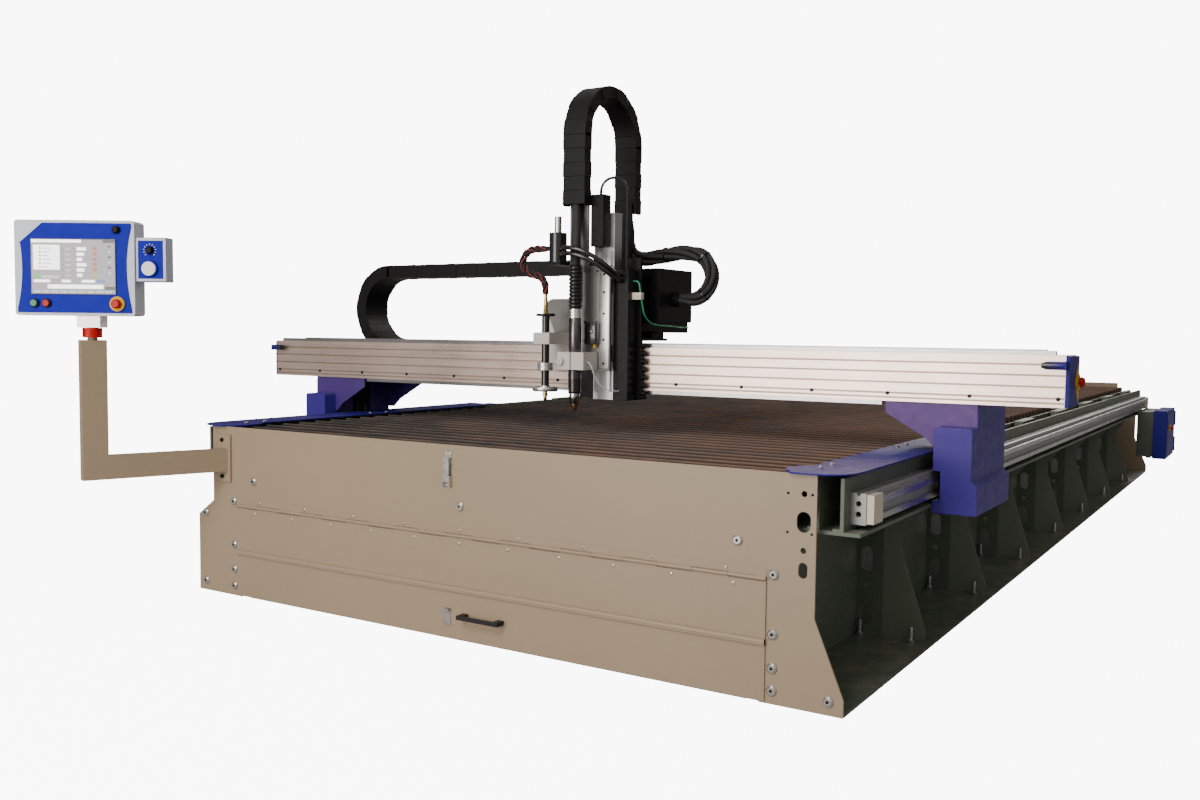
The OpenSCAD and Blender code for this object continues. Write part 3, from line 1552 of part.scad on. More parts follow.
module leg_covers() {
    color([0.16, 0.16, 0.55]) table() both_sides() {
        difference() {
            translate([0, cover_y, 0]) plate_xz(cover_box_front) cover_outline(0);
            translate([0, cover_y + sheet_t, 0]) plate_xz(cover_box_front) cover_outline(sheet_t);
            box([cover_box_in - cut, cover_y - cut, notch_zs[0]], [notch_x, leg_front + cut, notch_zs[1]]);
        }
        box([leg_out, leg_front, leg_outer_z], [sheet_out, leg_rear, saddle_z]);
        box([leg_out, leg_front, cover_box_z], [sheet_out, leg_rear + sheet_t, leg_outer_z]);
        box([leg_out - leg_outer_t, leg_rear, cover_box_z], [leg_out, leg_rear + sheet_t, cover_box_top]);
        box([leg_out, leg_rear, leg_outer_z], [sheet_out, leg_rear + sheet_t, cover_box_top]);
        translate([0, cover_y, 0]) plate_xz(leg_rear - cover_y) difference() {
            skirt_outline(0);
            skirt_outline(sheet_t);
        }
        translate([0, cover_y, 0]) plate_xz(sheet_t) skirt_outline(0);
    }
}

// The leg cover seen from the front, shrunk by the sheet for its inside.
module cover_outline(inset) {
    w = sheet_out - cover_box_in;
    translate([cover_box_in + inset, cover_box_z - cut * sign(inset)]) {
        square([w - 2 * inset, cover_box_top - cover_box_z - cover_box_r]);
        translate([cover_box_r - inset, 0])
            square([w - 2 * cover_box_r, cover_box_top - cover_box_z - inset + cut * sign(inset)]);
    }
    for (x = [cover_box_in + cover_box_r, sheet_out - cover_box_r]) {
        translate([x, cover_box_top - cover_box_r]) circle(r = cover_box_r - inset, $fn = 48);
    }
}

module skirt_outline(inset) {
    edge = sheet_out + skirt_w;
    polygon([[sheet_out, skirt_top - inset], [edge - inset, skirt_top - skirt_drop - inset],
        [edge - inset, cover_box_z - cut * sign(inset)], [sheet_out, cover_box_z - cut * sign(inset)]]);
}

// Bearing blocks that wrap the guide rails, with a wiper at each end of a leg.
module rail_bearings() {
    color([0.8, 0.81, 0.8]) table() both_sides() {
        difference() {
            union() {
                for (y = bearing_ys) {
                    translate([bearing_in, y, bearing_z]) cube(bearing_size);
                }
                for (y = [bearing_ys[0] - wiper_t, bearing_ys[1] + bearing_size[1]]) {
                    box([bearing_in, y, wiper_z], [bearing_out, y + wiper_t, wiper_z + wiper_h]);
                }
            }
            box([rail_x, 0, guide_z - bearing_gap],
                [guide_out + bearing_gap, table_l, guide_z + guide_h + bearing_gap]);
            box([rail_x, 0, rack_z - bearing_gap],
                [rail_x + rack_t + bearing_gap, table_l, rack_z + rack_h + bearing_gap]);
        }
    }
}

module drive_motors() {
    high = motor_plate_z + motor_plate_t;
    color([0.16, 0.17, 0.18]) table() both_sides() translate([drive_x, leg_mid, high]) {
        bar_z(gearbox[0], gearbox[1]);
        translate([-drive_motor[0] / 2, -drive_motor[0] / 2, gearbox[1]])
            cube([drive_motor[0], drive_motor[0], drive_motor[1]]);
    }
}

// Guide rails and gear rack of the beam, and the tray for the beam chain.
module beam_guides() {
    color([0.58, 0.59, 0.6]) table() {
        low = guide_mid - beam_guide_w / 2;
        box([-upper_guide_l / 2, low, beam_top],
            [upper_guide_l / 2, low + beam_guide_w, beam_top + beam_guide_h]);
        box([-lower_guide_l / 2, low, beam_z - beam_guide_h], [lower_guide_l / 2, low + beam_guide_w, beam_z]);
        translate([-beam_rack_l / 2, beam_front + beam_rack_back, beam_top])
            cube([beam_rack_l, beam_rack_t, beam_rack_h]);
        tray_end = chain_y + chain_w + chain_back;
        box([-beam_l / 2, beam_back, tray_top - tray_t], [tray_l - beam_l / 2, tray_end, tray_top]);
        box([-beam_l / 2, tray_end - tray_t, tray_top], [tray_l - beam_l / 2, tray_end, tray_top + tray_lip]);
    }
}

module beam_chain_low() {
    color([0.06, 0.06, 0.06]) table() translate([-chain_bend_x, chain_y, tray_top])
        link_run(lower_links, chain_pitch, chain_w, chain_h);
}

module beam_chain_up() {
    color([0.06, 0.06, 0.06]) table() {
        translate([-chain_bend_x, chain_y, chain_up_z]) link_run(upper_links, chain_pitch, chain_w, chain_h);
        translate([-chain_bend_x, chain_y, chain_mid_z]) link_turn(chain_r, chain_w, chain_h);
    }
}

// Front plate, bridge and lower lip of the carriage with the blocks that wrap the beam guides.
module carriage_plate() {
    color([0.7, 0.65, 0.55]) table() {
        box([carriage_left, carriage_front, carriage_z], [carriage_right, carriage_back, carriage_top]);
        box([carriage_left, carriage_back, bridge_z], [carriage_right, bridge_end, bridge_top]);
        box([carriage_left, carriage_back, lip_top - bridge_t],
            [carriage_right, guide_mid + slider_w / 2, lip_top]);
        difference() {
            for (x = [carriage_left + slider_in, carriage_right - slider_in - slider_l]) {
                box([x, guide_mid - slider_w / 2, beam_top + slider_lift],
                    [x + slider_l, guide_mid + slider_w / 2, bridge_z]);
                box([x, guide_mid - slider_w / 2, lip_top],
                    [x + slider_l, guide_mid + slider_w / 2, beam_z - slider_lift]);
            }
            slot_w = beam_guide_w + 2 * bearing_gap;
            box([-beam_l, guide_mid - slot_w / 2, beam_z - beam_guide_h - bearing_gap],
                [beam_l, guide_mid + slot_w / 2, beam_top + beam_guide_h + bearing_gap]);
        }
        translate([carriage_right, 0, 0]) plate_yz(profile_wiper_t) difference() {
            translate([carriage_front, beam_z]) square([carriage_t + carriage_gap - profile_wiper_gap, beam_h]);
            for (drop = groove_drops) {
                translate([carriage_back + carriage_gap, beam_top - drop]) rotate(45)
                    square(groove_w + groove_d, center = true);
            }
        }
    }
}

module carriage_motors() {
    color([0.1, 0.1, 0.11]) table() {
        y = beam_front + beam_rack_back + beam_rack_t;
        left = carriage_left + carriage_drive_in - carriage_motor[0] / 2;
        translate([left, y - carriage_drive_back, bridge_top])
            cube([carriage_motor[0], carriage_motor[0], carriage_motor[1]]);
        translate([motor_x, motor_y, lift_motor_z]) {
            translate([-lift_motor[0] / 2, -lift_motor[1] / 2, 0]) cube(lift_motor);
            box([-lift_motor[0] / 2, -lift_motor[1] / 2, -lift_motor_plate_t],
                [lift_motor[0] / 2, lift_motor[1] / 2 + lift_motor_gap, 0]);
        }
    }
}

// Lifter column with its guide rails, and the closed side column beside it.
module lift_column() {
    color([0.74, 0.75, 0.76]) table() {
        box([column_left, column_front, carriage_z], [column_left + column_w, carriage_front, column_top]);
        for (x = [column_left + lift_guide_in, column_left + column_w - lift_guide_in - lift_guide_w]) {
            box([x, column_front - lift_guide_t, lift_guide_zs[0]],
                [x + lift_guide_w, column_front, lift_guide_zs[1]]);
        }
        box([side_column_left, carriage_front - side_column_d, carriage_z],
            [side_column_left + side_column_w, carriage_front, side_column_top]);
    }
}

// Chain mast, chain end bracket, ignition box bracket and actuator bracket.
module carriage_brackets() {
    color([0.68, 0.63, 0.53]) table() {
        box([mast_left, mast_y, bridge_top], [mast_left + mast_w, mast_y + mast_t, mast_top]);
        box([chain_end_x, mast_y + mast_t, chain_up_z - chain_bracket_t],
            [mast_left + mast_w, chain_y + chain_w, chain_up_z]);
        post_left = ignition_left + (ignition[0] - ignition_post[0]) / 2;
        translate([post_left, bridge_end - ignition_post[1], bridge_top]) cube(ignition_post);
        translate([ignition_left + ignition_bracket_in, ignition_front + ignition_bracket_in,
            bridge_top + ignition_post[2]]) difference() {
                w = ignition[0] - 2 * ignition_bracket_in;
                l = ignition[1] - 2 * ignition_bracket_in;
                cube([w, l, ignition_bracket_h]);
                translate([ignition_bracket_t, -cut, ignition_bracket_t])
                    cube([w - 2 * ignition_bracket_t, l + 2 * cut,
                        ignition_bracket_h - 2 * ignition_bracket_t]);
            }
        box([-actuator_x - actuator_d / 2, actuator_y - actuator_d / 2, actuator_zs[0] - actuator_bracket_t],
            [actuator_d / 2 - actuator_x, carriage_front, actuator_zs[0]]);
    }
}

// Closed box with two round connectors in front and a hose gland at its right side.
module ignition_box() {
    color([0.5, 0.51, 0.52]) table() {
        translate([ignition_left, ignition_front, ignition_z]) {
            cube(ignition);
            for (z = connector_zs) {
                translate([connector_in, 0, z]) bar_front(connector[0], connector[1]);
            }
        }
        end = bundle_route[len(bundle_route) - 1];
        translate([ignition_right, end[1], end[2]]) bar_x(gland[0], end[0] - ignition_right);
    }
}

// The lift chain stands across the beam: its length runs up and its width along X.
module lift_chain_frame() {
    rotate([0, 0, -90]) rotate([0, -90, 0]) children();
}

module lift_leg() {
    lift_chain_frame() link_run(lift_chain_links, lift_chain_pitch, lift_chain_w, lift_chain_h);
}

module lift_chain_rear() {
    color([0.06, 0.06, 0.06]) table()
        translate([lift_chain_left, lift_chain_mid + lift_chain_r, lift_chain_z]) lift_leg();
}

module lift_chain_front() {
    color([0.06, 0.06, 0.06]) table() {
        translate([lift_chain_left, lift_chain_back - lift_chain_h, lift_chain_z]) lift_leg();
        translate([lift_chain_left, lift_chain_mid, lift_chain_top]) rotate([0, 0, -90]) rotate([0, 90, 0])
            link_turn(lift_chain_r, lift_chain_w, lift_chain_h);
    }
}

// Marker station: plate with the rod guide, the actuator and its fittings.
module marker_plate() {
    color([0.6, 0.61, 0.62]) table() {
        left = marker_plate_right - marker_plate_w;
        plate_y = carriage_front - marker_plate_t;
        translate([left, plate_y, marker_plate_zs[0]]) plate_xz(marker_plate_t)
            rounded(marker_plate_w, marker_plate_zs[1] - marker_plate_zs[0], marker_plate_r);
        difference() {
            box([-marker_x - marker_guide[0] / 2, marker_y - marker_guide_front, marker_guide_z],
                [marker_guide[0] / 2 - marker_x, plate_y, marker_guide_z + marker_guide[1]]);
            translate([-marker_x, marker_y, marker_guide_z - cut])
                bar_z(marker_rod_d + 2 * marker_play, marker_guide[1] + 2 * cut);
        }
        translate([-actuator_x, actuator_y, actuator_zs[0]]) {
            bar_z(actuator_d, actuator_zs[1] - actuator_zs[0]);
            translate([0, 0, actuator_zs[1] - actuator_zs[0]]) bar_z(actuator_fitting[0], actuator_fitting[1]);
        }
        start = marker_hose_route[0];
        translate(start) bar_x(marker_port_d, -actuator_x - start[0]);
    }
}

// Rod with its collar, top disc and fitting, the open shoe and the stepped nozzle.
module marker() {
    color([0.68, 0.6, 0.42]) table() translate([-marker_x, marker_y, 0]) {
        low = marker_rod_zs[0];
        high = marker_rod_zs[1];
        translate([0, 0, low]) bar_z(marker_rod_d, high - low);
        translate([0, 0, marker_collar_z]) bar_z(marker_collar[0], marker_collar[1]);
        translate([0, 0, high]) bar_z(marker_disc[0], marker_disc[1]);
        top = high + marker_disc[1];
        translate([0, 0, top]) bar_z(marker_fitting[0], marker_hose_route[len(marker_hose_route) - 1][2] - top);
        translate([0, 0, low - shoe_h]) linear_extrude(shoe_h) difference() {
            circle(d = shoe_d, $fn = 64);
            translate([0, -shoe_d / 2]) square([shoe_gap, shoe_d / 2], center = true);
        }
        translate([0, 0, low - shoe_h - nozzle_step]) bar_z(nozzle_d, nozzle_step);
        translate([0, 0, low - shoe_h - 2 * nozzle_step]) bar_z(nozzle_waist_d, nozzle_step);
        translate([0, 0, low - shoe_h - 3 * nozzle_step]) bar_z(nozzle_d, nozzle_step);
    }
}

module marker_hose() {
    color([0.35, 0.08, 0.07]) table() tube(marker_hose_route, marker_hose_d, 8, [0, 0, 1]);
}

module hose_bundle() {
    color([0.08, 0.08, 0.08]) table() tube(bundle_route, bundle_d, 12, [0, 1, 0]);
}

module torch_lead() {
    color([0.08, 0.08, 0.08]) table() tube(torch_lead_route, torch_lead_d, 12, [1, 0, 0]);
}

// Earth, signal and motor leads.
module leads() {
    color([0.1, 0.3, 0.15]) table() {
        tube(earth_route, earth_lead_d, 8, [0, 0, 1]);
        tube(signal_route, signal_lead_d, 8, [1, 0, 0]);
        tube(motor_route, motor_lead_d, 8, [1, 0, 0]);
    }
}

// Lift plate with its four bearing blocks and the bracket that carries the lift chain.
module lift_plate() {
    color([0.72, 0.73, 0.74]) table() {
        box([lift_plate_left, lift_face, lift_plate_zs[0]],
            [lift_plate_left + lift_plate_w, lift_back, lift_plate_zs[1]]);
        xs = [column_left + lift_guide_in, column_left + column_w - lift_guide_in - lift_guide_w];
        for (x = xs, z = lift_bearing_zs) {
            mid = x + lift_guide_w / 2;
            difference() {
                box([mid - lift_bearing_w / 2, lift_back, z],
                    [mid + lift_bearing_w / 2, column_front - slider_lift, z + lift_bearing_h]);
                box([x - bearing_gap, column_front - lift_guide_t - bearing_gap, z - cut],
                    [x + lift_guide_w + bearing_gap, column_front, z + lift_bearing_h + cut]);
            }
        }
        box([lift_bracket_left, lift_chain_back, lift_bracket_zs[0]],
            [lift_bracket_left + lift_bracket_w, lift_face, lift_bracket_zs[1]]);
    }
}

module torch_clamp() {
    color([0.74, 0.75, 0.76]) table() difference() {
        box([torch_x - clamp_w / 2, clamp_y, clamp_z], [torch_x + clamp_w / 2, lift_face, clamp_z + clamp_h]);
        translate([torch_x, torch_y, clamp_z - cut]) bar_z(torch_d, clamp_h + 2 * cut);
        box([torch_x - clamp_slot / 2, clamp_y - cut, clamp_z - cut],
            [torch_x + clamp_slot / 2, torch_y, clamp_z + clamp_h + cut]);
        translate([knob_place[0], clamp_y - cut, knob_place[1]]) rotate([-90, 0, 0])
            bar_z(knob_stem_d + 2 * shaft_play, knob_stem_l + knob_gap + cut);
    }
}

module clamp_knob() {
    color([0.05, 0.05, 0.05]) table() translate([knob_place[0], clamp_y - knob_gap, knob_place[1]]) {
        bar_front(knob_d, knob_t);
        translate([0, knob_stem_l, 0]) bar_front(knob_stem_d, knob_stem_l);
    }
}

// Torch body with its shield, tip and ringed collar.
module torch() {
    color([0.12, 0.12, 0.12]) table() translate([torch_x, torch_y, 0]) {
        translate([0, 0, torch_zs[0]]) bar_z(torch_d, torch_zs[1] - torch_zs[0]);
        translate([0, 0, torch_zs[0] - shield_h]) cylinder(d1 = shield_d, d2 = torch_d, h = shield_h, $fn = 64);
        translate([0, 0, torch_zs[0] - shield_h - tip[1]])
            cylinder(d1 = tip_end_d, d2 = tip[0], h = tip[1], $fn = 48);
        ring = collar_h / (2 * collar_rings - 1);
        for (i = [0 : 2 * collar_rings - 2]) {
            translate([0, 0, torch_zs[1] + i * ring]) bar_z(collar_d - (i % 2) * 2 * collar_groove, ring);
        }
    }
}

// Ribbed sleeve above the torch collar.
module bellows() {
    color([0.1, 0.1, 0.1]) table() translate([torch_x, torch_y, torch_zs[1] + collar_h]) {
        rib = bellows_h / bellows_ribs;
        edge = [for (i = [0 : bellows_ribs - 1], s = [0, 1])
            [(s == 0 ? bellows_root_d : bellows_d) / 2, (i + s / 2) * rib]];
        rotate_extrude($fn = 48) polygon(concat([[bellows_bore / 2, 0]], edge,
            [[bellows_root_d / 2, bellows_h], [bellows_bore / 2, bellows_h]]));
    }
}

// Flange, slanted tube, post and spindle that carry the console.
module console_arm() {
    color([0.7, 0.62, 0.45]) table() {
        box([-flange_x - flange_w / 2, -flange_t, flange_zs[0]], [flange_w / 2 - flange_x, 0, flange_zs[1]]);
        root = [-arm_x, -flange_t];
        half = arm_w / 2 / cos(arm_turn);
        lean = arm_dir * (arm_l + post_l);
        wide = arm_w / 2 * [cos(arm_turn), -sin(arm_turn)];
        translate([0, 0, arm_z]) linear_extrude(arm_h)
            polygon([root - [half, 0], root + [half, 0], root + lean + wide, root + lean - wide]);
        translate([spindle_at[0], spindle_at[1], 0]) rotate([0, 0, -arm_turn]) {
            box([-arm_w / 2, -post_l / 2, arm_z], [arm_w / 2, post_l / 2, post_top]);
            translate([0, 0, post_top]) bar_z(spindle_d, spindle_h);
        }
    }
}

module clamp_collar() {
    color([0.6, 0.06, 0.05]) table() translate([spindle_at[0], spindle_at[1], post_top + clamp_collar_zs[0]]) {
        h = clamp_collar_zs[1] - clamp_collar_zs[0];
        difference() {
            bar_z(clamp_collar_d, h);
            translate([0, 0, -cut]) bar_z(spindle_d, h + 2 * cut);
            box([-clamp_split / 2, -clamp_collar_d, -cut], [clamp_split / 2, 0, h + cut]);
        }
    }
}

// Swivel block, main case and side box of the console.
module console_case() {
    color([0.72, 0.72, 0.7]) at_console() {
        difference() {
            translate([-swivel_block[0] / 2, -swivel_block[1] / 2, swivel_z])
                cube([swivel_block[0], swivel_block[1], console_z - swivel_z]);
            translate([0, 0, swivel_z - cut])
                bar_z(spindle_d + 2 * swivel_play, post_top + spindle_h - swivel_z + cut + swivel_gap);
        }
        translate([-console_left, -console_front, console_z])
            plate_xz(console_d) rounded(console_w, console_h, console_r);
        translate([side_box_x, side_box_y, side_box_z]) cube(side_box);
        translate([side_box_x + white_place[0], side_box_y, side_box_z + white_place[1]])
            button_ring(white_d + push_ring_d - push_d, white_d);
    }
}

// Inset face with waved sides, its accent triangle, the button rings and the stop plate.
module console_face() {
    color([0.13, 0.14, 0.5]) at_console() {
        translate([face_in - console_left, face_y, console_z + face_in]) {
            w = console_w - 2 * face_in;
            h = console_h - 2 * face_in;
            wave_h = h * face_wave_share;
            wave_r = (wave_h * wave_h / 4 + face_wave * face_wave) / (2 * face_wave);
            plate_xz(face_t) difference() {
                square([w, h]);
                for (x = [face_wave - wave_r, w - face_wave + wave_r]) {
                    translate([x, h / 2]) circle(r = wave_r, $fn = 128);
                }
            }
            translate([face_wave, -accent_t, h]) plate_xz(accent_t) polygon([[0, -face_wave], [0, -accent_h],
                [accent_w, -face_wave]]);
        }
        for (p = push_places) {
            translate([p[0], face_y, console_z + p[1]]) button_ring(push_ring_d, push_d);
        }
        translate([stop_place[0], face_y, console_z + stop_place[1]]) stop_plate();
    }
}

module screen() {
    low = [screen_at[0], face_y - screen_t, console_z + screen_at[1]];
    color([0.06, 0.07, 0.08]) at_console() translate(low) {
        difference() {
            cube([screen[0], screen_t, screen[1]]);
            translate([screen_in, -cut, screen_in])
                cube([screen[0] - 2 * screen_in, screen_t / 2 + cut, screen[1] - 2 * screen_in]);
        }
    }
}

module push_green() {
    color([0.1, 0.55, 0.2]) at_console()
        translate([push_places[0][0], face_y, console_z + push_places[0][1]]) button_body(push_d);
}

module push_red() {
    color([0.7, 0.1, 0.08]) at_console()
        translate([push_places[1][0], face_y, console_z + push_places[1][1]]) button_body(push_d);
}

module console_stop() {
    color([0.75, 0.08, 0.06]) at_console()
        translate([stop_place[0], face_y, console_z + stop_place[1]]) stop_head();
}

// Round turning knob that stands just off its face.
module turn_knob(d, h) {
    translate([0, -button_gap, 0]) {
        bar_front(d, h * (1 - dome_share));
        translate([0, -h * (1 - dome_share), 0]) rotate([90, 0, 0])
            cylinder(d1 = d, d2 = d * dome_end_share, h = h * dome_share, $fn = 48);
    }
}

module selector() {
    color([0.05, 0.05, 0.05]) at_console()
        translate([selector_place[0], face_y, console_z + selector_place[1]]) turn_knob(selector_d, selector_h);
}

module dial() {
    color([0.05, 0.05, 0.05]) at_console()
        translate([side_box_x + dial_place[0], side_box_y, side_box_z + dial_place[1]])
            turn_knob(dial_d, selector_h);
}

module white_button() {
    color([0.9, 0.9, 0.88]) at_console()
        translate([side_box_x + white_place[0], side_box_y, side_box_z + white_place[1]]) button_body(white_d);
}

// Wall box on the shelf edge with a cable gland under it.
module control_box() {
    color([0.62, 0.63, 0.63]) table() {
        box([shelf_x, control_start, control_z], [shelf_x + control[0], control_end, control_top]);
        translate([shelf_x + control[0] / 2, (control_start + control_end) / 2, control_z - control_gland[1]])
            bar_z(control_gland[0], control_gland[1]);
    }
}

// Deeper front part of the control box, with the fixed hinge knuckles and the pins.
module control_cover() {
    color([0.16, 0.16, 0.55]) table() {
        box([shelf_x + control[0], control_start - control_cover_over, control_z - control_cover_over],
            [control_face, control_end + control_cover_over, control_top + control_cover_over]);
        for (z = [control_door_low, control_door_high - 3 * control_knuckle_h]) {
            translate([0, 0, z]) {
                translate([control_pin_x, control_pin_y, 0]) bar_z(control_pin_d, 3 * control_knuckle_h);
                for (i = [0, 2]) {
                    translate([control_pin_x, control_pin_y, i * control_knuckle_h]) difference() {
                        union() {
                            bar_z(control_barrel_d, control_knuckle_h);
                            box([control_face - control_pin_x, -control_barrel_d / 4, 0],
                                [0, control_barrel_d / 4, control_knuckle_h]);
                        }
                        translate([0, 0, -cut]) bar_z(control_pin_d, control_knuckle_h + 2 * cut);
                    }
                }
            }
        }
    }
}

// Sheet door with its middle knuckles and the plate of its stop button.
module control_door() {
    color([0.8, 0.8, 0.78]) table() {
        edge = control_pin_y - control_barrel_d / 2 - 2 * control_door_gap;
        box([control_face + control_door_gap, control_door_start, control_door_low],
            [control_door_out, edge, control_door_high]);
        for (z = [control_door_low, control_door_high - 3 * control_knuckle_h]) {
            translate([control_pin_x, control_pin_y, z + control_knuckle_h + control_door_gap]) difference() {
                h = control_knuckle_h - 2 * control_door_gap;
                union() {
                    bar_z(control_barrel_d, h);
                    box([control_face + control_door_gap - control_pin_x, edge - control_pin_y, 0],
                        [control_door_out - control_pin_x, 0, h]);
                }
                translate([0, 0, -cut]) bar_z(control_pin_d + 2 * pin_play, h + 2 * cut);
            }
        }
        translate([control_door_out, control_stop_y, control_stop_z]) rotate([0, 0, 90]) stop_plate();
    }
}

module control_stop() {
    color([0.75, 0.08, 0.06]) table() translate([control_door_out, control_stop_y, control_stop_z])
        rotate([0, 0, 90]) stop_head();
}

front_panel();
rear_panel();
bed_trough();
side_gussets();
side_shelves();
rails();
rail_guides();
rail_stops();
slats();
side_covers();
cover_hoops();
fasteners();
door_hinge();
latch_base();
console_arm();
clamp_collar();
control_box();
control_cover();
slag_door();
door_handle();
latch_lever();
beam();
beam_ends();
legs();
leg_covers();
rail_bearings();
drive_motors();
beam_guides();
beam_chain_low();
gantry_stop();
carriage_plate();
carriage_motors();
lift_column();
carriage_brackets();
ignition_box();
beam_chain_up();
lift_chain_rear();
marker_plate();
hose_bundle();
leads();
lift_plate();
torch_clamp();
torch();
bellows();
lift_chain_front();
torch_lead();
clamp_knob();
marker();
marker_hose();
console_case();
console_face();
screen();
push_green();
push_red();
console_stop();
selector();
dial();
white_button();
control_door();
control_stop();
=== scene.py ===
"""Looks of a plate cutting table with a travelling gantry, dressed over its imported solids."""
import math

import bmesh
import bpy
from mathutils import Matrix, Vector


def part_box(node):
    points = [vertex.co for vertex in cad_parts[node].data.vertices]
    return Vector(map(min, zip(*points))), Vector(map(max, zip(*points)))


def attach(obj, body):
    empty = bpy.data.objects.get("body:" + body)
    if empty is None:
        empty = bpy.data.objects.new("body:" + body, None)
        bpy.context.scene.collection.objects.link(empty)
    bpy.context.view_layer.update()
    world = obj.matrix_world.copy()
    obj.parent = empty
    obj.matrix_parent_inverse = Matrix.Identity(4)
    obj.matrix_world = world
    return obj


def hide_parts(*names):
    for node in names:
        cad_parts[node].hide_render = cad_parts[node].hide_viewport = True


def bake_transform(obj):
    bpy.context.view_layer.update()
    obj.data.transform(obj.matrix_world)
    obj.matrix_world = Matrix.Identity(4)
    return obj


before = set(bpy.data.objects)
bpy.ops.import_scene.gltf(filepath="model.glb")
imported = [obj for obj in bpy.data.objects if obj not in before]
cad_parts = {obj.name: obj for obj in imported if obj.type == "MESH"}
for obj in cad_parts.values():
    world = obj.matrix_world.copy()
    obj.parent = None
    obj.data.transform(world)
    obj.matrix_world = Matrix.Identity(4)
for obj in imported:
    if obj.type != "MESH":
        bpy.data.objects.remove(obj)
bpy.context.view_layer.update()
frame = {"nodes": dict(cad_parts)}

bl_info = {
    "name": "Cutting table looks",
    "version": (1, 0, 0),
    "blender": (4, 5, 0),
    "location": "3D View > Sidebar > Cutting table",
    "description": "Finishes, cable chains, hoses and small fittings of a plate cutting table",
    "category": "Object",
}

NODES = frame["nodes"]
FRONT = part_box("front_panel")[0].y
UP = Vector((0, 0, 1))
RIGHT = Vector((1, 0, 0))
BACK = Vector((0, 1, 0))

# Hose and lead routes from their first seat to their last one: across, behind the panel front, up
BUNDLE_ROUTE = (
    (0.061, 1.101, 1.722), (0.061, 1.101, 1.690), (0.061, 1.101, 1.650), (0.061, 1.101, 1.606),
    (0.074, 1.102, 1.560), (0.110, 1.104, 1.526), (0.160, 1.105, 1.515), (0.214, 1.105, 1.521),
    (0.272, 1.105, 1.530), (0.332, 1.105, 1.536), (0.390, 1.105, 1.534), (0.441, 1.105, 1.519),
    (0.477, 1.105, 1.481), (0.490, 1.105, 1.431), (0.477, 1.105, 1.381), (0.441, 1.105, 1.344),
    (0.390, 1.105, 1.331), (0.338, 1.105, 1.331))
TORCH_LEAD_ROUTE = (
    (0.083, 0.650, 1.465), (0.083, 0.650, 1.486), (0.081, 0.653, 1.540), (0.073, 0.667, 1.600),
    (0.065, 0.681, 1.658), (0.062, 0.686, 1.704), (0.062, 0.686, 1.722))
MARKER_HOSE_ROUTE = (
    (-0.092, 0.690, 1.540), (-0.124, 0.690, 1.540), (-0.156, 0.689, 1.540), (-0.184, 0.685, 1.532),
    (-0.204, 0.680, 1.512), (-0.212, 0.677, 1.484), (-0.204, 0.677, 1.456), (-0.184, 0.680, 1.436),
    (-0.156, 0.685, 1.428), (-0.128, 0.689, 1.420), (-0.108, 0.690, 1.400), (-0.100, 0.690, 1.372),
    (-0.100, 0.690, 1.346))
EARTH_ROUTE = (
    (0.276, 0.797, 1.400), (0.290, 0.797, 1.400), (0.301, 0.797, 1.396), (0.307, 0.797, 1.386),
    (0.310, 0.797, 1.372), (0.315, 0.799, 1.340), (0.318, 0.806, 1.300), (0.319, 0.824, 1.258),
    (0.324, 0.862, 1.228), (0.331, 0.920, 1.216), (0.337, 1.010, 1.213), (0.340, 1.090, 1.208),
    (0.340, 1.156, 1.208), (0.340, 1.170, 1.208), (0.336, 1.184, 1.208), (0.322, 1.190, 1.208),
    (0.304, 1.190, 1.208))
SIGNAL_ROUTE = (
    (0.199, 0.922, 1.311), (0.199, 0.908, 1.311), (0.199, 0.895, 1.306), (0.199, 0.889, 1.292),
    (0.201, 0.888, 1.276), (0.207, 0.888, 1.248), (0.215, 0.893, 1.210), (0.220, 0.900, 1.176),
    (0.220, 0.900, 1.160))
SUPPLY_ROUTE = (
    (0.244, 0.758, 1.400), (0.244, 0.735, 1.401), (0.240, 0.704, 1.411), (0.224, 0.672, 1.434),
    (0.194, 0.643, 1.463), (0.155, 0.620, 1.488), (0.112, 0.607, 1.504), (0.072, 0.607, 1.511),
    (0.040, 0.623, 1.513), (0.018, 0.646, 1.512), (-0.005, 0.668, 1.512))
SENSOR_ROUTE = (
    (0.149, 0.640, 1.058), (0.160, 0.640, 1.056), (0.170, 0.644, 1.040), (0.176, 0.656, 1.005),
    (0.186, 0.678, 0.970), (0.206, 0.708, 0.944), (0.230, 0.738, 0.936), (0.236, 0.758, 0.936))
MOTOR_ROUTE = (
    (0.145, 0.744, 1.762), (0.145, 0.744, 1.778), (0.152, 0.748, 1.806), (0.170, 0.757, 1.827),
    (0.194, 0.770, 1.834), (0.219, 0.784, 1.827), (0.237, 0.793, 1.806), (0.244, 0.797, 1.778),
    (0.244, 0.797, 1.748), (0.244, 0.797, 1.660), (0.244, 0.797, 1.560), (0.244, 0.797, 1.445))
# Diameters of hoses and leads
TORCH_LEAD, BUNDLE_LEAD, MARKER_LEAD, SUPPLY_HOSE = 0.040, 0.025, 0.0125, 0.020
EARTH_LEAD, SIGNAL_LEAD, MOTOR_LEAD, SENSOR_LEAD = 0.007, 0.008, 0.012, 0.005


def colour_setting(name, text, default):
    """A colour that the panel shows."""
    return bpy.props.FloatVectorProperty(name=name, description=text, default=default, subtype="COLOR")


def number_setting(name, text, default, **kind):
    """A number that the panel shows, with its subtype or unit."""
    return bpy.props.FloatProperty(name=name, description=text, default=default, **kind)


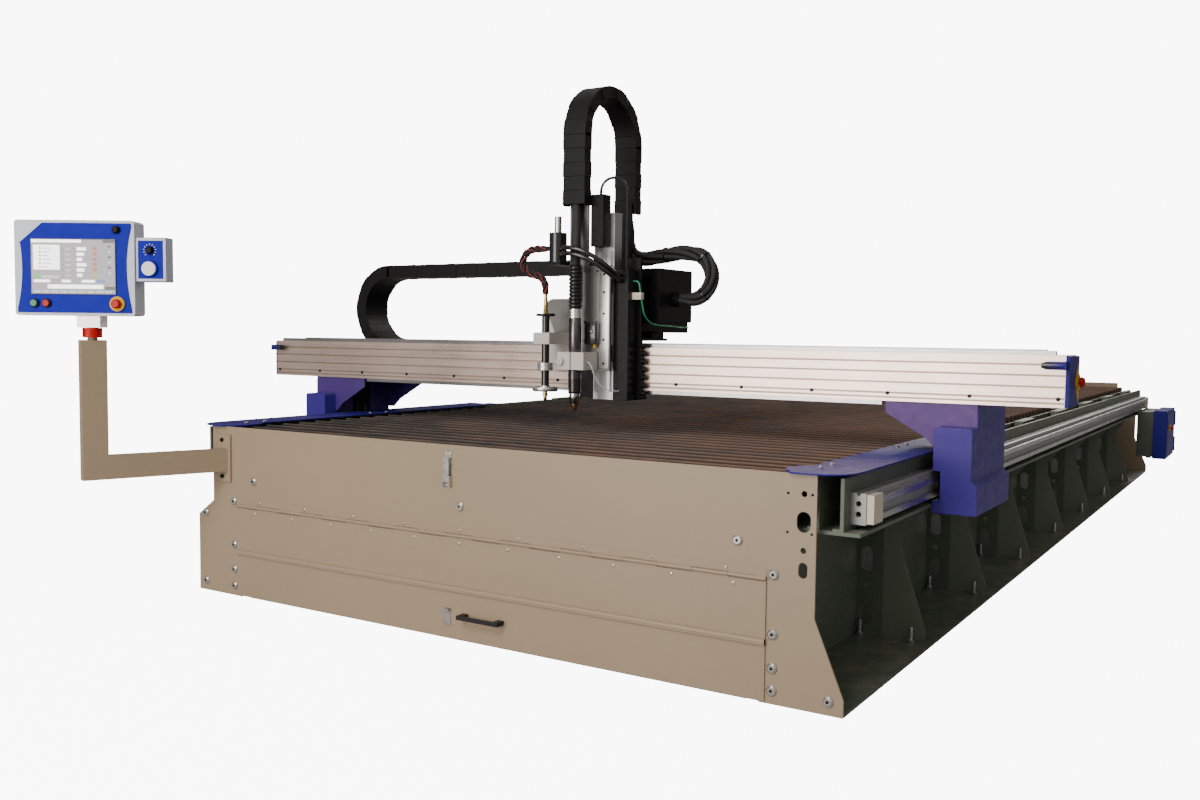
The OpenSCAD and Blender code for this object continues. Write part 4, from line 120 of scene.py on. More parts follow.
class ViewSettings(bpy.types.PropertyGroup):
    """Camera of the photograph's viewing angle."""

    eye: bpy.props.FloatVectorProperty(
        name="Eye", description="Place of the camera", default=(2.6859, FRONT - 3.2413, 1.1845),
        subtype="XYZ", unit="LENGTH")
    yaw: number_setting("Yaw", "Turn of the camera to the left", math.radians(32.4616), subtype="ANGLE")
    pitch: number_setting("Pitch", "Tilt of the camera to the floor", math.radians(3.5053), subtype="ANGLE")
    roll: number_setting("Roll", "Roll of the camera", math.radians(0.6135), subtype="ANGLE")
    lens: number_setting("Lens", "Focal length on a 36 mm sensor", 33.278, unit="CAMERA")


class PaintSettings(bpy.types.PropertyGroup):
    """Paint and plastic colours of the table."""

    panel: colour_setting("Panel", "Taupe paint of panels and arm", (0.330, 0.256, 0.171))
    # Side frame colour: the panel taupe made darker and olive, painted shade of the side frames.
    frame: colour_setting("Frame", "Paint of the side frames", (0.105, 0.130, 0.095))
    blue: colour_setting("Blue", "Blue powder coat of covers and beam ends", (0.020, 0.016, 0.230))
    console: colour_setting("Console face", "Blue of the console face", (0.004, 0.007, 0.34))
    casing: colour_setting("Casing", "Light casing of the console", (0.56, 0.62, 0.72))
    slat: colour_setting("Slats", "Rolled steel of the slats", (0.078, 0.071, 0.066))
    black: colour_setting("Black", "Black plastic of the cable chains", (0.008, 0.008, 0.009))


class ChainSettings(bpy.types.PropertyGroup):
    """Links of the two cable chains."""

    beam_pitch: number_setting("Beam chain pitch", "Length of a link of the beam chain", 0.065, unit="LENGTH")
    lift_pitch: number_setting("Lift chain pitch", "Length of a link of the lift chain", 0.058, unit="LENGTH")
    plate: number_setting("Side plate", "Thickness of a link's side plate", 0.005, unit="LENGTH")
    lid: number_setting("Lid", "Thickness of a link's lid", 0.004, unit="LENGTH")


class StageSettings(bpy.types.PropertyGroup):
    """Floor and light."""

    floor: colour_setting("Floor", "Pale floor", (0.42, 0.42, 0.42))
    key: number_setting("Key light", "Power of the key light", 205.0, unit="POWER")
    fill: number_setting("Fill light", "Power of the fill light", 70.0, unit="POWER")
    front: number_setting("Front light", "Power of the low front light", 265.0, unit="POWER")
    rear: number_setting("Rear light", "Power of the light behind the table", 450.0, unit="POWER")
    sky: number_setting("Sky", "Strength of the even light", 0.72)
    glow: number_setting("Glow", "White added to floor and sky as they are seen", 9.0)
    tone: colour_setting("Tone", "Colour of the light", (1.0, 0.93, 0.88))


# Shader nodes and the shared surface groups

class Wire:
    """An output in a node tree, which can be added, subtracted and multiplied."""

    def __init__(self, tree, socket):
        self.tree, self.socket = tree, socket

    def math(self, operation, other):
        """One number worked out of this one and another."""
        return add_node(self.tree, "Math", {0: self, 1: other}, operation=operation)

    def __add__(self, other):
        return self.math("ADD", other)

    def __sub__(self, other):
        return self.math("SUBTRACT", other)

    def __mul__(self, other):
        return self.math("MULTIPLY", other)


def feed(socket, value):
    """Links an output to an input, or sets the input's own value."""
    if isinstance(value, Wire):
        value.tree.links.new(value.socket, socket)
    else:
        socket.default_value = value


def add_node(tree, kind, values, output=0, **settings):
    """One shader node with its settings and inputs; gives one of its outputs."""
    made = tree.nodes.new("ShaderNode" + kind)
    for key, value in settings.items():
        setattr(made, key, value)
    for key, value in values.items():
        feed(made.inputs[key], value)
    return Wire(tree, made.outputs[output])


def mix(factor, first, second):
    """One colour mixed of two."""
    return add_node(factor.tree, "Mix", {0: factor, 6: first, 7: second}, 2, data_type="RGBA")


def tinted(colour, shade):
    """A colour made lighter or darker."""
    return add_node(colour.tree, "HueSaturation", {"Value": shade, "Color": colour})


def spread(value, low, high, out_low=0.0, out_high=1.0):
    """A value brought from one span to another, held at both ends."""
    ends = {"From Min": low, "From Max": high, "To Min": out_low, "To Max": out_high}
    return add_node(value.tree, "MapRange", {"Value": value, **ends})


def product(first, second):
    """Two vectors multiplied axis by axis."""
    return add_node(first.tree, "VectorMath", {0: first, 1: second}, operation="MULTIPLY")


def agreement(first, second):
    """How far two directions agree, from -1 to 1."""
    return add_node(first.tree, "VectorMath", {0: first, 1: second}, "Value", operation="DOT_PRODUCT")


def place(tree):
    """Coordinates that are fixed to the piece."""
    return add_node(tree, "TexCoord", {}, "Object")


def noise(where, scale, detail):
    """Noise between 0 and 1 of one size."""
    return add_node(where.tree, "TexNoise", {"Vector": where, "Scale": scale, "Detail": detail}, "Fac")


def waves(where, scale, distortion, direction):
    """Parallel bands between 0 and 1."""
    return add_node(where.tree, "TexWave", {"Vector": where, "Scale": scale, "Distortion": distortion}, "Fac",
                    bands_direction=direction)


SOCKET_KINDS = {1: "NodeSocketFloat", 3: "NodeSocketVector", 4: "NodeSocketColor"}
OUTPUT_WIDTHS = {"Color": 4, "Normal": 3}
DUST = (0.42, 0.38, 0.33, 1)


def new_group(name, **inputs):
    """An empty shader group and what it is given."""
    tree = bpy.data.node_groups.new(name, "ShaderNodeTree")
    for label, value in inputs.items():
        kind = SOCKET_KINDS[len(value) if isinstance(value, tuple) else 1]
        tree.interface.new_socket(name=label, in_out="INPUT", socket_type=kind).default_value = value
    return tree, {socket.name: Wire(tree, socket) for socket in tree.nodes.new("NodeGroupInput").outputs}


def close_group(tree, **outputs):
    """A shader group with what it puts out."""
    for label in outputs:
        kind = SOCKET_KINDS[OUTPUT_WIDTHS.get(label, 1)]
        tree.interface.new_socket(name=label, in_out="OUTPUT", socket_type=kind)
    end = tree.nodes.new("NodeGroupOutput").inputs
    for label, value in outputs.items():
        feed(end[label], value)
    return tree


def build_edge_group():
    """Rounded edges and a mask of where they are rubbed."""
    tree, given = new_group("Rubbed edge", Radius=0.002, Patch=14.0)
    bevel = add_node(tree, "Bevel", {"Radius": given["Radius"]}, samples=4)
    edge = spread(agreement(bevel, add_node(tree, "NewGeometry", {}, "True Normal")), 0.99, 0.80)
    patch = spread(noise(place(tree), given["Patch"], 5.0), 0.45, 0.70)
    return close_group(tree, Normal=bevel, Mask=edge * patch)


def build_paint_group():
    """Sprayed paint: slight clouds, dust on what faces up, and an orange peel."""
    tree, given = new_group(
        "Sprayed paint", Color=(0.5, 0.5, 0.5, 1), Clouds=0.10, Gloss=0.42, Dust=0.25, Peel=420.0)
    where = place(tree)
    colour = tinted(given["Color"], (noise(where, 2.2, 4.0) - 0.5) * given["Clouds"] + 1.0)
    facing = add_node(tree, "SeparateXYZ", {0: add_node(tree, "NewGeometry", {}, "Normal")}, "Z")
    dust = spread(facing, 0.6, 1.0) * spread(noise(where, 9.0, 6.0), 0.42, 0.72) * given["Dust"]
    rough = (noise(where, 30.0, 5.0) - 0.5) * 0.30 + given["Gloss"] + dust * 0.4
    return close_group(tree, Color=mix(dust, colour, DUST), Roughness=rough,
                       Height=noise(where, given["Peel"], 2.0))


def build_drawn_group():
    """Drawn or brushed metal: fine lines along one direction."""
    tree, given = new_group("Drawn metal", Color=(0.7, 0.7, 0.7, 1), Lines=(4, 400, 400), Gloss=0.32)
    where = place(tree)
    fine = noise(product(where, given["Lines"]), 1.0, 6.0)
    smear = noise(where, 3.0, 5.0)
    shade = (fine - 0.5) * 0.22 + 0.93 + (smear - 0.5) * 0.20
    rough = (fine - 0.5) * 0.25 + given["Gloss"] + (smear - 0.4) * 0.2
    return close_group(tree, Color=tinted(given["Color"], shade), Roughness=rough, Height=fine)


def build_scale_group():
    """Rolled steel with mill scale and rust, with painted light along its crest and painted shade below it.
    """
    tree, given = new_group(
        "Rusty scale", Color=(0.2, 0.15, 0.1, 1), Rust=(0.25, 0.10, 0.045, 1), Patch=5.0, Crest=0.0)
    where = place(tree)
    across, height = (add_node(tree, "SeparateXYZ", {0: where}, axis) for axis in "XZ")
    patch = spread(noise(where, given["Patch"], 8.0), 0.30, 0.76) + spread(across, -1.3, 1.3, -0.45, 0.35)
    grit = noise(where, 160.0, 4.0)
    # Grit gives a random tone; the factor from the height under the crest paints light along the top edge and
    # shade lower down.
    shade = (grit * 0.6 + 0.7) * spread(height - given["Crest"], -0.009, -0.001, 0.35, 1.30)
    colour = tinted(mix(patch, given["Color"], given["Rust"]), shade)
    return close_group(tree, Color=colour, Roughness=patch * 0.3 + 0.48, Height=grit + patch)


def build_braid_group():
    """A braided sleeve: two sets of slanting threads around a hose."""
    tree, given = new_group(
        "Braided sleeve", Color=(0.02, 0.02, 0.02, 1), Thread=(0.06, 0.06, 0.06, 1), Pitch=120.0)
    first, second = (waves(product(place(tree), slant), given["Pitch"], 0.4, "DIAGONAL")
                     for slant in ((1.0, 1.0, 1.0), (-1.0, 1.0, -1.0)))
    both = first * second
    return close_group(tree, Color=mix(both, given["Color"], given["Thread"]), Roughness=both * -0.2 + 0.68,
                       Height=both)


def build_dots_group():
    """A screen field: fine rows and a slow change of brightness."""
    tree, given = new_group("Screen dots", Color=(0.5, 0.5, 0.5, 1), Rows=900.0)
    where = place(tree)
    slow = noise(where, 6.0, 2.0)
    shade = slow * 0.2 + 0.82 + waves(where, given["Rows"], 0.0, "Z") * 0.10
    return close_group(tree, Color=tinted(given["Color"], shade),
                       Roughness=spread(slow, 0.3, 0.7, 0.12, 0.22))


GROUP_MAKERS = {"edge": build_edge_group, "paint": build_paint_group, "drawn": build_drawn_group,
                "scale": build_scale_group, "braid": build_braid_group, "dots": build_dots_group}
GROUPS = {}
FINISHES = {}
BUMP_DEPTH = 0.0015


def add_group(tree, name, **values):
    """Outputs of the shared group of that name, which is built on its first use."""
    if name not in GROUPS:
        GROUPS[name] = GROUP_MAKERS[name]()
    made = tree.nodes.new("ShaderNodeGroup")
    made.node_tree = GROUPS[name]
    for key, value in values.items():
        made.inputs[key].default_value = value
    return {socket.name: Wire(tree, socket) for socket in made.outputs}


def new_material(name):
    """An empty finish: its tree and its shader's inputs."""
    material = bpy.data.materials.new(name)
    material.use_nodes = True
    FINISHES[name] = material
    return material.node_tree, material.node_tree.nodes["Principled BSDF"].inputs


def new_finish(name, group, colour, metallic=0.0, coat=0.0, bump=0.15, edge=0.0015, rubbed=None, specular=0.5,
               tint=(1.0, 1.0, 1.0), **values):
    """A finish of one surface group and its values, with rounded edges and an optional rubbed edge colour."""
    tree, shader = new_material(name)
    surface = add_group(tree, group, Color=(*colour, 1), **values)
    edges = add_group(tree, "edge", Radius=edge)
    shown = mix(edges["Mask"], surface["Color"], (*rubbed, 1)) if rubbed else surface["Color"]
    relief = add_node(tree, "Bump", {"Height": surface["Height"], "Normal": edges["Normal"], "Strength": bump,
                                     "Distance": BUMP_DEPTH})
    inputs = {"Base Color": shown, "Roughness": surface["Roughness"], "Normal": relief, "Metallic": metallic,
              "Coat Weight": coat, "Specular Tint": (*tint, 1), "Specular IOR Level": specular}
    for key, value in inputs.items():
        feed(shader[key], value)


def painted(name, colour, gloss, dust, **more):
    """A sprayed or moulded finish."""
    new_finish(name, "paint", colour, Gloss=gloss, Dust=dust, **more)


def drawn(name, colour, lines, gloss, metallic, bump, **more):
    """A metal finish with lines along the axis that has the smallest number."""
    new_finish(name, "drawn", colour, Lines=lines, Gloss=gloss, metallic=metallic, bump=bump, **more)


def lit_finish(name, colour, strength):
    """A lit screen field: fine rows in one colour."""
    tree, shader = new_material(name)
    field = add_group(tree, "dots", Color=(*colour, 1))
    inputs = {"Base Color": field["Color"], "Emission Color": field["Color"], "Roughness": field["Roughness"],
              "Emission Strength": strength}
    for key, value in inputs.items():
        feed(shader[key], value)


SCREEN_COLOURS = {"grey": (0.30, 0.30, 0.34), "pale": (0.56, 0.57, 0.60), "white": (1.0, 1.0, 1.0),
                  "blue": (0.12, 0.17, 0.42), "amber": (0.42, 0.10, 0.05), "green": (0.10, 0.46, 0.14),
                  "dark": (0.05, 0.05, 0.06), "gold": (0.56, 0.38, 0.03)}
WHITE_GLOW = 2.2
COLOUR_GLOW = 0.55


def build_finishes(paint):
    """Every finish of the table, by name."""
    painted("taupe_paint", paint.panel, 0.40, 0.3, rubbed=(0.45, 0.40, 0.33))
    # Side frames: the panel taupe darkened to an olive grey as painted shade.
    painted("frame_paint", paint.frame, 0.45, 0.3, rubbed=(0.25, 0.24, 0.2))
    painted("blue_paint", paint.blue, 0.42, 0.08, Clouds=0.25, rubbed=(0.16, 0.17, 0.42), specular=0.15)
    painted("console_blue", paint.console, 0.50, 0.0, specular=0.12)
    painted("casing_paint", paint.casing, 0.34, 0.15)
    painted("box_paint", (0.090, 0.104, 0.084), 0.42, 0.2)
    drawn("beam_aluminium", (1.0, 0.82, 0.72), (3, 260, 260), 0.28, 0.85, 0.02)
    # A darker copy of the beam aluminium for strips in its grooves: painted shade.
    drawn("groove_aluminium", (0.50, 0.37, 0.30), (3, 120, 120), 0.4, 0.8, 0.02)
    drawn("rail_aluminium", (0.40, 0.42, 0.41), (90, 2, 90), 0.50, 0.6, 0.02)
    drawn("plate_aluminium", (0.74, 0.74, 0.73), (260, 260, 3), 0.30, 0.9, 0.08)
    drawn("ground_steel", (0.55, 0.55, 0.55), (300, 6, 300), 0.26, 1.0, 0.05)
    drawn("chrome_steel", (0.86, 0.85, 0.83), (90, 90, 500), 0.14, 1.0, 0.03, edge=0.0008)
    drawn("zinc_steel", (0.66, 0.66, 0.63), (70, 70, 70), 0.24, 0.95, 0.03, edge=0.0008)
    # Height of the slat tops, along which the scale finish paints light, with painted shade below.
    crest = max(vertex.co.z for vertex in NODES["slats"].data.vertices)
    new_finish("slat_steel", "scale", paint.slat, Rust=(0.205, 0.126, 0.090, 1), Crest=crest, metallic=0.25,
               bump=0.5, rubbed=(0.42, 0.36, 0.30))
    painted("chain_plastic", paint.black, 0.46, 0.08, Peel=900.0, rubbed=(0.06, 0.06, 0.06), specular=0.25)
    painted("black_metal", (0.008, 0.008, 0.009), 0.30, 0.05, rubbed=(0.07, 0.07, 0.07), specular=0.22)
    drawn("anodised_grey", (0.20, 0.205, 0.195), (220, 220, 4), 0.36, 0.75, 0.06)
    painted("cast_grey", (0.60, 0.57, 0.53), 0.40, 0.1, Peel=700.0, rubbed=(0.70, 0.68, 0.64))
    painted("cream_plastic", (0.66, 0.60, 0.48), 0.34, 0.1)
    painted("violet_texture", (0.046, 0.025, 0.210), 0.50, 0.10, Clouds=0.6, Peel=150.0, bump=0.3,
            specular=1.0, tint=(1.0, 0.66, 0.74))
    painted("cover_blue", (0.034, 0.022, 0.270), 0.46, 0.10, Clouds=0.4, rubbed=(0.16, 0.15, 0.42),
            tint=(1.0, 0.80, 0.90))
    painted("black_gloss", (0.010, 0.010, 0.011), 0.16, 0.0, coat=0.5)
    painted("red_plastic", (0.46, 0.005, 0.003), 0.30, 0.0, specular=0.2)
    painted("yellow_plastic", (0.70, 0.40, 0.002), 0.35, 0.0, specular=0.15)
    painted("green_plastic", (0.06, 0.24, 0.15), 0.30, 0.0, specular=0.3)
    painted("knob_black", (0.004, 0.004, 0.006), 0.34, 0.0, specular=0.12)
    painted("white_plastic", (0.80, 0.80, 0.78), 0.28, 0.0, coat=0.2)
    painted("blue_plastic", (0.15, 0.42, 0.62), 0.35, 0.0)
    drawn("brass", (0.78, 0.54, 0.22), (120, 120, 500), 0.22, 1.0, 0.05, edge=0.0006)
    drawn("copper", (0.80, 0.42, 0.25), (120, 120, 500), 0.26, 1.0, 0.05, edge=0.0006)
    painted("rubber", (0.016, 0.016, 0.017), 0.55, 0.1, Peel=1200.0, specular=0.3)
    new_finish("hose_sleeve", "braid", (0.008, 0.008, 0.009), Thread=(0.05, 0.05, 0.052, 1), bump=0.6)
    new_finish("red_sleeve", "braid", (0.03, 0.012, 0.012), Thread=(0.42, 0.012, 0.010, 1), Pitch=60.0,
               bump=0.5)
    drawn("dark_steel", (0.16, 0.15, 0.15), (60, 60, 500), 0.18, 1.0, 0.03)
    painted("bellows_rubber", (0.014, 0.014, 0.015), 0.24, 0.05, coat=0.2)
    for shade, colour in SCREEN_COLOURS.items():
        lit_finish("screen_" + shade, colour, WHITE_GLOW if shade == "white" else COLOUR_GLOW)
    painted("green_lead", (0.02, 0.26, 0.12), 0.4, 0.0)


# Pieces and the forms that they are made of

SMOOTH_ANGLE = math.radians(35)


def dress(node, finish, *parts, within=Matrix()):
    """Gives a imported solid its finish, and other finishes to the faces that a test picks in a frame."""
    target = NODES[node]
    target.data.materials.clear()
    target.data.materials.append(FINISHES[finish])
    target.data.polygons.foreach_set("material_index", [0] * len(target.data.polygons))
    for index, (other, test) in enumerate(parts, 1):
        target.data.materials.append(FINISHES[other])
        for face in target.data.polygons:
            if test(within @ (target.matrix_world @ face.center)):
                face.material_index = index


def new_piece(name, form, finish, body=None, slot=None):
    """An object made of a finished bmesh, smooth between its sharp edges, that rides on a body."""
    mesh = bpy.data.meshes.new(name)
    form.to_mesh(mesh)
    form.free()
    mesh.polygons.foreach_set("use_smooth", [True] * len(mesh.polygons))
    mesh.set_sharp_from_angle(angle=SMOOTH_ANGLE)
    for entry in ([finish] if isinstance(finish, str) else finish):
        mesh.materials.append(FINISHES[entry])
    made = bpy.data.objects.new(name, mesh)
    bpy.context.scene.collection.objects.link(made)
    if body:
        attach(made, body)
    return made


def add_box(form, low, high, bevel=0.0, turn=None, segments=2):
    """A box between two corners with bevelled edges."""
    low, high = Vector(low), Vector(high)
    shape = Matrix.Translation((low + high) / 2) @ Matrix.Diagonal((*(high - low), 1))
    made = bmesh.ops.create_cube(form, size=1, matrix=(turn or Matrix()) @ shape)["verts"]
    if bevel:
        edges = list(dict.fromkeys(edge for vertex in made for edge in vertex.link_edges))
        bmesh.ops.bevel(form, geom=edges, offset=bevel, segments=segments, affect="EDGES", profile=0.5)


def add_rod(form, first, last, radius, sides):
    """A bar between two points."""
    axis = last - first
    shape = Matrix.Translation((first + last) / 2) @ UP.rotation_difference(axis).to_matrix().to_4x4()
    bmesh.ops.create_cone(form, cap_ends=True, segments=sides, radius1=radius, radius2=radius,
                          depth=axis.length, matrix=shape)


def add_skin(form, rings):
    """Faces between rings of points, and a cap on both ends."""
    loops = [[form.verts.new(point) for point in ring] for ring in rings]
    for low, high in zip(loops, loops[1:]):
        for step in range(len(low)):
            after = (step + 1) % len(low)
            form.faces.new((low[step], low[after], high[after], high[step]))
    form.faces.new(list(reversed(loops[0])))
    form.faces.new(loops[-1])


def circle(sides):
    """Cosine and sine of each corner of a round outline."""
    angles = [math.tau * step / sides for step in range(sides)]
    return [(math.cos(angle), math.sin(angle)) for angle in angles]


def add_turned(form, foot, axis, profile, sides=40):
    """A turned shape: (radius, height) pairs along an axis from its foot."""
    turn = UP.rotation_difference(Vector(axis).normalized()).to_matrix()
    add_skin(form, [[foot + turn @ Vector((radius * c, radius * s, height)) for c, s in circle(sides)]
                    for radius, height in profile])


def add_plate(form, spot, outline, low, high):
    """A flat plate: an outline of (along, up) pairs, from one width to another."""
    add_skin(form, [[spot @ Vector((x, y, z)) for x, z in outline] for y in (low, high)])


def line_length(line):
    """Length of a line of points."""
    return sum((b - a).length for a, b in zip(line, line[1:]))


def smooth_route(points, steps=6):
    """A smooth line through given points, straight over its first and last stretch."""
    spots = [Vector(point) + FRONT * BACK for point in points]
    last = len(spots) - 2
    line = []
    for index in range(last + 1):
        b, c = spots[index], spots[index + 1]
        a = c - 2 * (b - spots[0]) if index == 1 else spots[max(index - 1, 0)]
        d = b + 2 * (spots[-1] - c) if index == last - 1 else spots[min(index + 2, last + 1)]
        for step in range(steps):
            t = step / steps
            if index in (0, last):
                line.append(b + (c - b) * t)
            else:
                line.append((2 * b + (c - a) * t + (2 * a - 5 * b + 4 * c - d) * t ** 2
                             + (3 * b - a - 3 * c + d) * t ** 3) / 2)
    return line + [spots[-1]]


def frames_along(line):
    """Each point of a line with two directions across it, which turn as little as they can."""
    side = None
    for index, point in enumerate(line):
        heading = (line[min(index + 1, len(line) - 1)] - line[max(index - 1, 0)]).normalized()
        if side is None:
            side = heading.orthogonal()
        side = (side - side.dot(heading) * heading).normalized()
        yield point, side, heading.cross(side)


def add_tube(form, line, radius, sides):
    """A tube along a line."""
    add_skin(form, [[point + radius * (c * side + s * other) for c, s in circle(sides)]
                    for point, side, other in frames_along(line)])


def strand_line(line, radius, angle, turns):
    """A line that winds about another one and is gathered at both ends, for a strand of a bundle."""
    gathered, opening = 0.6, 4.0
    total = line_length(line)
    run = 0.0
    wound = []
    for index, (point, side, other) in enumerate(frames_along(line)):
        run += (point - line[max(index - 1, 0)]).length
        turn = angle + math.tau * turns * run / total
        reach = radius * min(1.0, gathered + opening * min(run, total - run) / total)
        wound.append(point + reach * (math.cos(turn) * side + math.sin(turn) * other))
    return wound


def turned_pieces(node, body, rows):
    """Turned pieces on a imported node's upright axis, by name, with their profiles from the floor up."""
    middle = middle_of(node)
    made = {}
    for name, finish, slot, *turns in rows:
        form = bmesh.new()
        for sides, profile in turns:
            add_turned(form, Vector((middle.x, middle.y, 0)), UP, profile, sides)
        made[name] = new_piece(name, form, finish, body, slot)
    return made


def screw_piece(name, spots, profile, finish, body, slot, sides=20, axis=-BACK):
    """A set of turned heads or knobs in one piece."""
    form = bmesh.new()
    for spot in spots:
        add_turned(form, Vector(spot), axis, profile, sides)
    new_piece(name, form, finish, body, slot)


def middle_of(node):
    """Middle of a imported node's box."""
    low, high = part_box(node)
    return (low + high) / 2


def spot_of(centre, along, outward):
    """A place whose first axis is along a line and whose third axis is outward."""
    across = Vector(outward).cross(Vector(along))
    return Matrix.Translation(centre) @ Matrix((along, across, outward)).transposed().to_4x4()


CONSOLE_TURN = math.radians(32.5)


def console_spot():
    """The console's own frame: across, to the back and up from the foot of its spindle."""
    middle = middle_of("clamp_collar")
    return Matrix.Translation((middle.x, middle.y, 0)) @ Matrix.Rotation(CONSOLE_TURN, 4, "Z")


SENSOR_WIDTH, SIGHT_END = 36.0, 200.0


class TABLE_OT_camera(bpy.types.Operator):
    """Set the camera at the viewing angle of the photograph"""

    bl_idname = "cutting_table.camera"
    bl_label = "Camera"

    def execute(self, context):
        view = context.scene.table_view
        camera = bpy.data.objects.new("camera", bpy.data.cameras.new("camera"))
        context.scene.collection.objects.link(camera)
        turn = (Matrix.Rotation(view.yaw, 4, "Z") @ Matrix.Rotation(math.pi / 2 - view.pitch, 4, "X")
                @ Matrix.Rotation(view.roll, 4, "Z"))
        camera.matrix_world = Matrix.Translation(view.eye) @ turn
        camera.data.sensor_width = SENSOR_WIDTH
        camera.data.lens = view.lens
        camera.data.clip_end = SIGHT_END
        context.scene.camera = camera
        return {"FINISHED"}


class TABLE_OT_hoses(bpy.types.Operator):
    """Lay the hoses and leads of the carriage along their routes"""

    bl_idname = "cutting_table.hoses"
    bl_label = "Hoses and leads"

    def execute(self, context):
        self.bundle()
        self.lay("torch_lead_sleeve", smooth_route(TORCH_LEAD_ROUTE, 8), TORCH_LEAD, "hose_sleeve",
                 "torch_head", "limp", "torch_lead")
        self.lay("earth_lead", smooth_route(EARTH_ROUTE), EARTH_LEAD, "green_lead", "carriage", "limp",
                 "leads")
        self.signal_lead()
        self.lay("motor_lead", smooth_route(MOTOR_ROUTE), MOTOR_LEAD, "rubber", "carriage", "medium")
        for number, rise in enumerate((0.0, 0.024), 1):
            line = smooth_route([(x, y, z + rise) for x, y, z in SUPPLY_ROUTE], 8)
            self.lay(f"supply_hose_{number}", line, SUPPLY_HOSE, "black_gloss", "carriage", "medium")
        line = smooth_route(SENSOR_ROUTE, 8)
        lead = self.lay("sensor_lead", line, SENSOR_LEAD, "casing_paint", None, "limp")
        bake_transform(lead)
        line = smooth_route(MARKER_HOSE_ROUTE, 12)
        strands = ("red_sleeve", "rubber", "red_sleeve", "rubber")
        reach, turns = 0.010, 2.6
        for number, finish in enumerate(strands):
            wound = strand_line(line, reach, math.tau * number / len(strands), turns)
            lead = self.lay(f"marker_lead_{number + 1}", wound, MARKER_LEAD, finish, None, "limp",
                            "marker_hose")
            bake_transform(lead)
        return {"FINISHED"}

    def bundle(self):
        """Five loosely wound leads in place of one thick sleeve, and the ties about them."""
        line = smooth_route(BUNDLE_ROUTE, 8)
        count, reach, turns = 5, 0.0215, 1.25
        for number in range(count):
            wound = strand_line(line, reach, math.tau * number / count, turns)
            self.lay(f"bundle_lead_{number + 1}", wound, BUNDLE_LEAD, "hose_sleeve", "carriage", "limp",
                     "hose_bundle")
        ties = bmesh.new()
        inner, outer, half = 0.0310, 0.0352, 0.0030
        for share in (0.22, 0.46, 0.66, 0.86):
            index = round(share * (len(line) - 1))
            add_turned(ties, line[index], line[index + 1] - line[index],
                       [(inner, -half), (outer, -half), (outer, half), (inner, half)])
        new_piece("bundle_ties", ties, "black_gloss", "carriage", "black_plastic")

    def signal_lead(self):
        """A thin lead that ends in a plug."""
        line = smooth_route(SIGNAL_ROUTE)
        plug = bmesh.new()
        add_turned(plug, line[-1], UP, [
            (0.004, 0.0003), (0.0080, 0.0003), (0.0080, 0.012), (0.0065, 0.0135), (0.0072, 0.016),
            (0.0072, 0.026), (0.0050, 0.034), (0.0042, 0.034)], 20)
        plug = new_piece("signal_plug", plug, "yellow_plastic", "carriage", "red_plastic")
        self.lay("signal_lead", line, SIGNAL_LEAD, "blue_plastic", "carriage", "limp", None, [plug])

    def lay(self, name, line, diameter, finish, body, stiffness, node=None, pieces=()):
        """One cord along a line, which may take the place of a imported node."""
        form = bmesh.new()
        add_tube(form, line, diameter / 2, 20)
        made = new_piece(name, form, finish, body, "rubber")
        if node:
            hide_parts(node)
        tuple(line[0])
        line_length(line)
        return made


def round_outline(half_length, half_height, radius, steps=4):
    """Corners of a rectangle with round corners, in order."""
    outline = []
    for quarter, (x, z) in enumerate(((1, 1), (-1, 1), (-1, -1), (1, -1))):
        for step in range(steps + 1):
            angle = math.pi / 2 * (quarter + step / steps)
            outline.append((x * (half_length - radius) + radius * math.cos(angle),
                            z * (half_height - radius) + radius * math.sin(angle)))
    return outline


def bend_form(form, radius, cuts=3):
    """Bends a form about an axis across it, so that its own middle line gets that radius."""
    limit = max(abs(vertex.co.x) for vertex in form.verts)
    for step in range(-cuts, cuts + 1):
        every = list(form.verts) + list(form.edges) + list(form.faces)
        bmesh.ops.bisect_plane(form, geom=every, plane_co=(limit * step / (cuts + 1), 0, 0), plane_no=RIGHT)
    for vertex in form.verts:
        angle = vertex.co.x / radius
        reach = radius + vertex.co.z
        vertex.co = Vector((reach * math.sin(angle), vertex.co.y, reach * math.cos(angle) - radius))


def join_form(form, piece, spot):
    """Adds a finished piece to a form at a place."""
    mesh = bpy.data.meshes.new("passing")
    piece.transform(spot)
    piece.to_mesh(mesh)
    piece.free()
    form.from_mesh(mesh)
    bpy.data.meshes.remove(mesh)


# Links of the two round ends, shares of a link's length and height, and the small steps between its plates
BEND_LINKS, ARCH_LINKS = 9, 11
PLATE_SHARE, CORNER_SHARE, LID_SHARE = 0.60, 0.20, 0.494
NARROW_STEP, LID_STEP, LID_BEVEL = 0.001, 0.0008, 0.0007
FAR = 50  # m; distance of the far ends worked out for a chain's bend


def add_link(form, spot, wide, length, height, width, plate, lid):
    """One chain link: two side plates and the lids between them."""
    inset = 0.0 if wide else plate * 0.5
    half = height / 2 if wide else height / 2 - NARROW_STEP
    outline = round_outline(length * PLATE_SHARE, half, height * CORNER_SHARE)
    for side in (-1, 1):
        edge = side * (width / 2 - inset)
        add_plate(form, spot, outline, *sorted((edge, edge - side * plate)))
    reach, end = width / 2 - inset - plate, length * LID_SHARE
    for side in (-1, 1):
        edge = side * (height / 2 - LID_STEP)
        low, high = sorted((edge, edge - side * lid))
        add_box(form, (-end, -reach, low), (end, reach, high), LID_BEVEL, spot, 1)


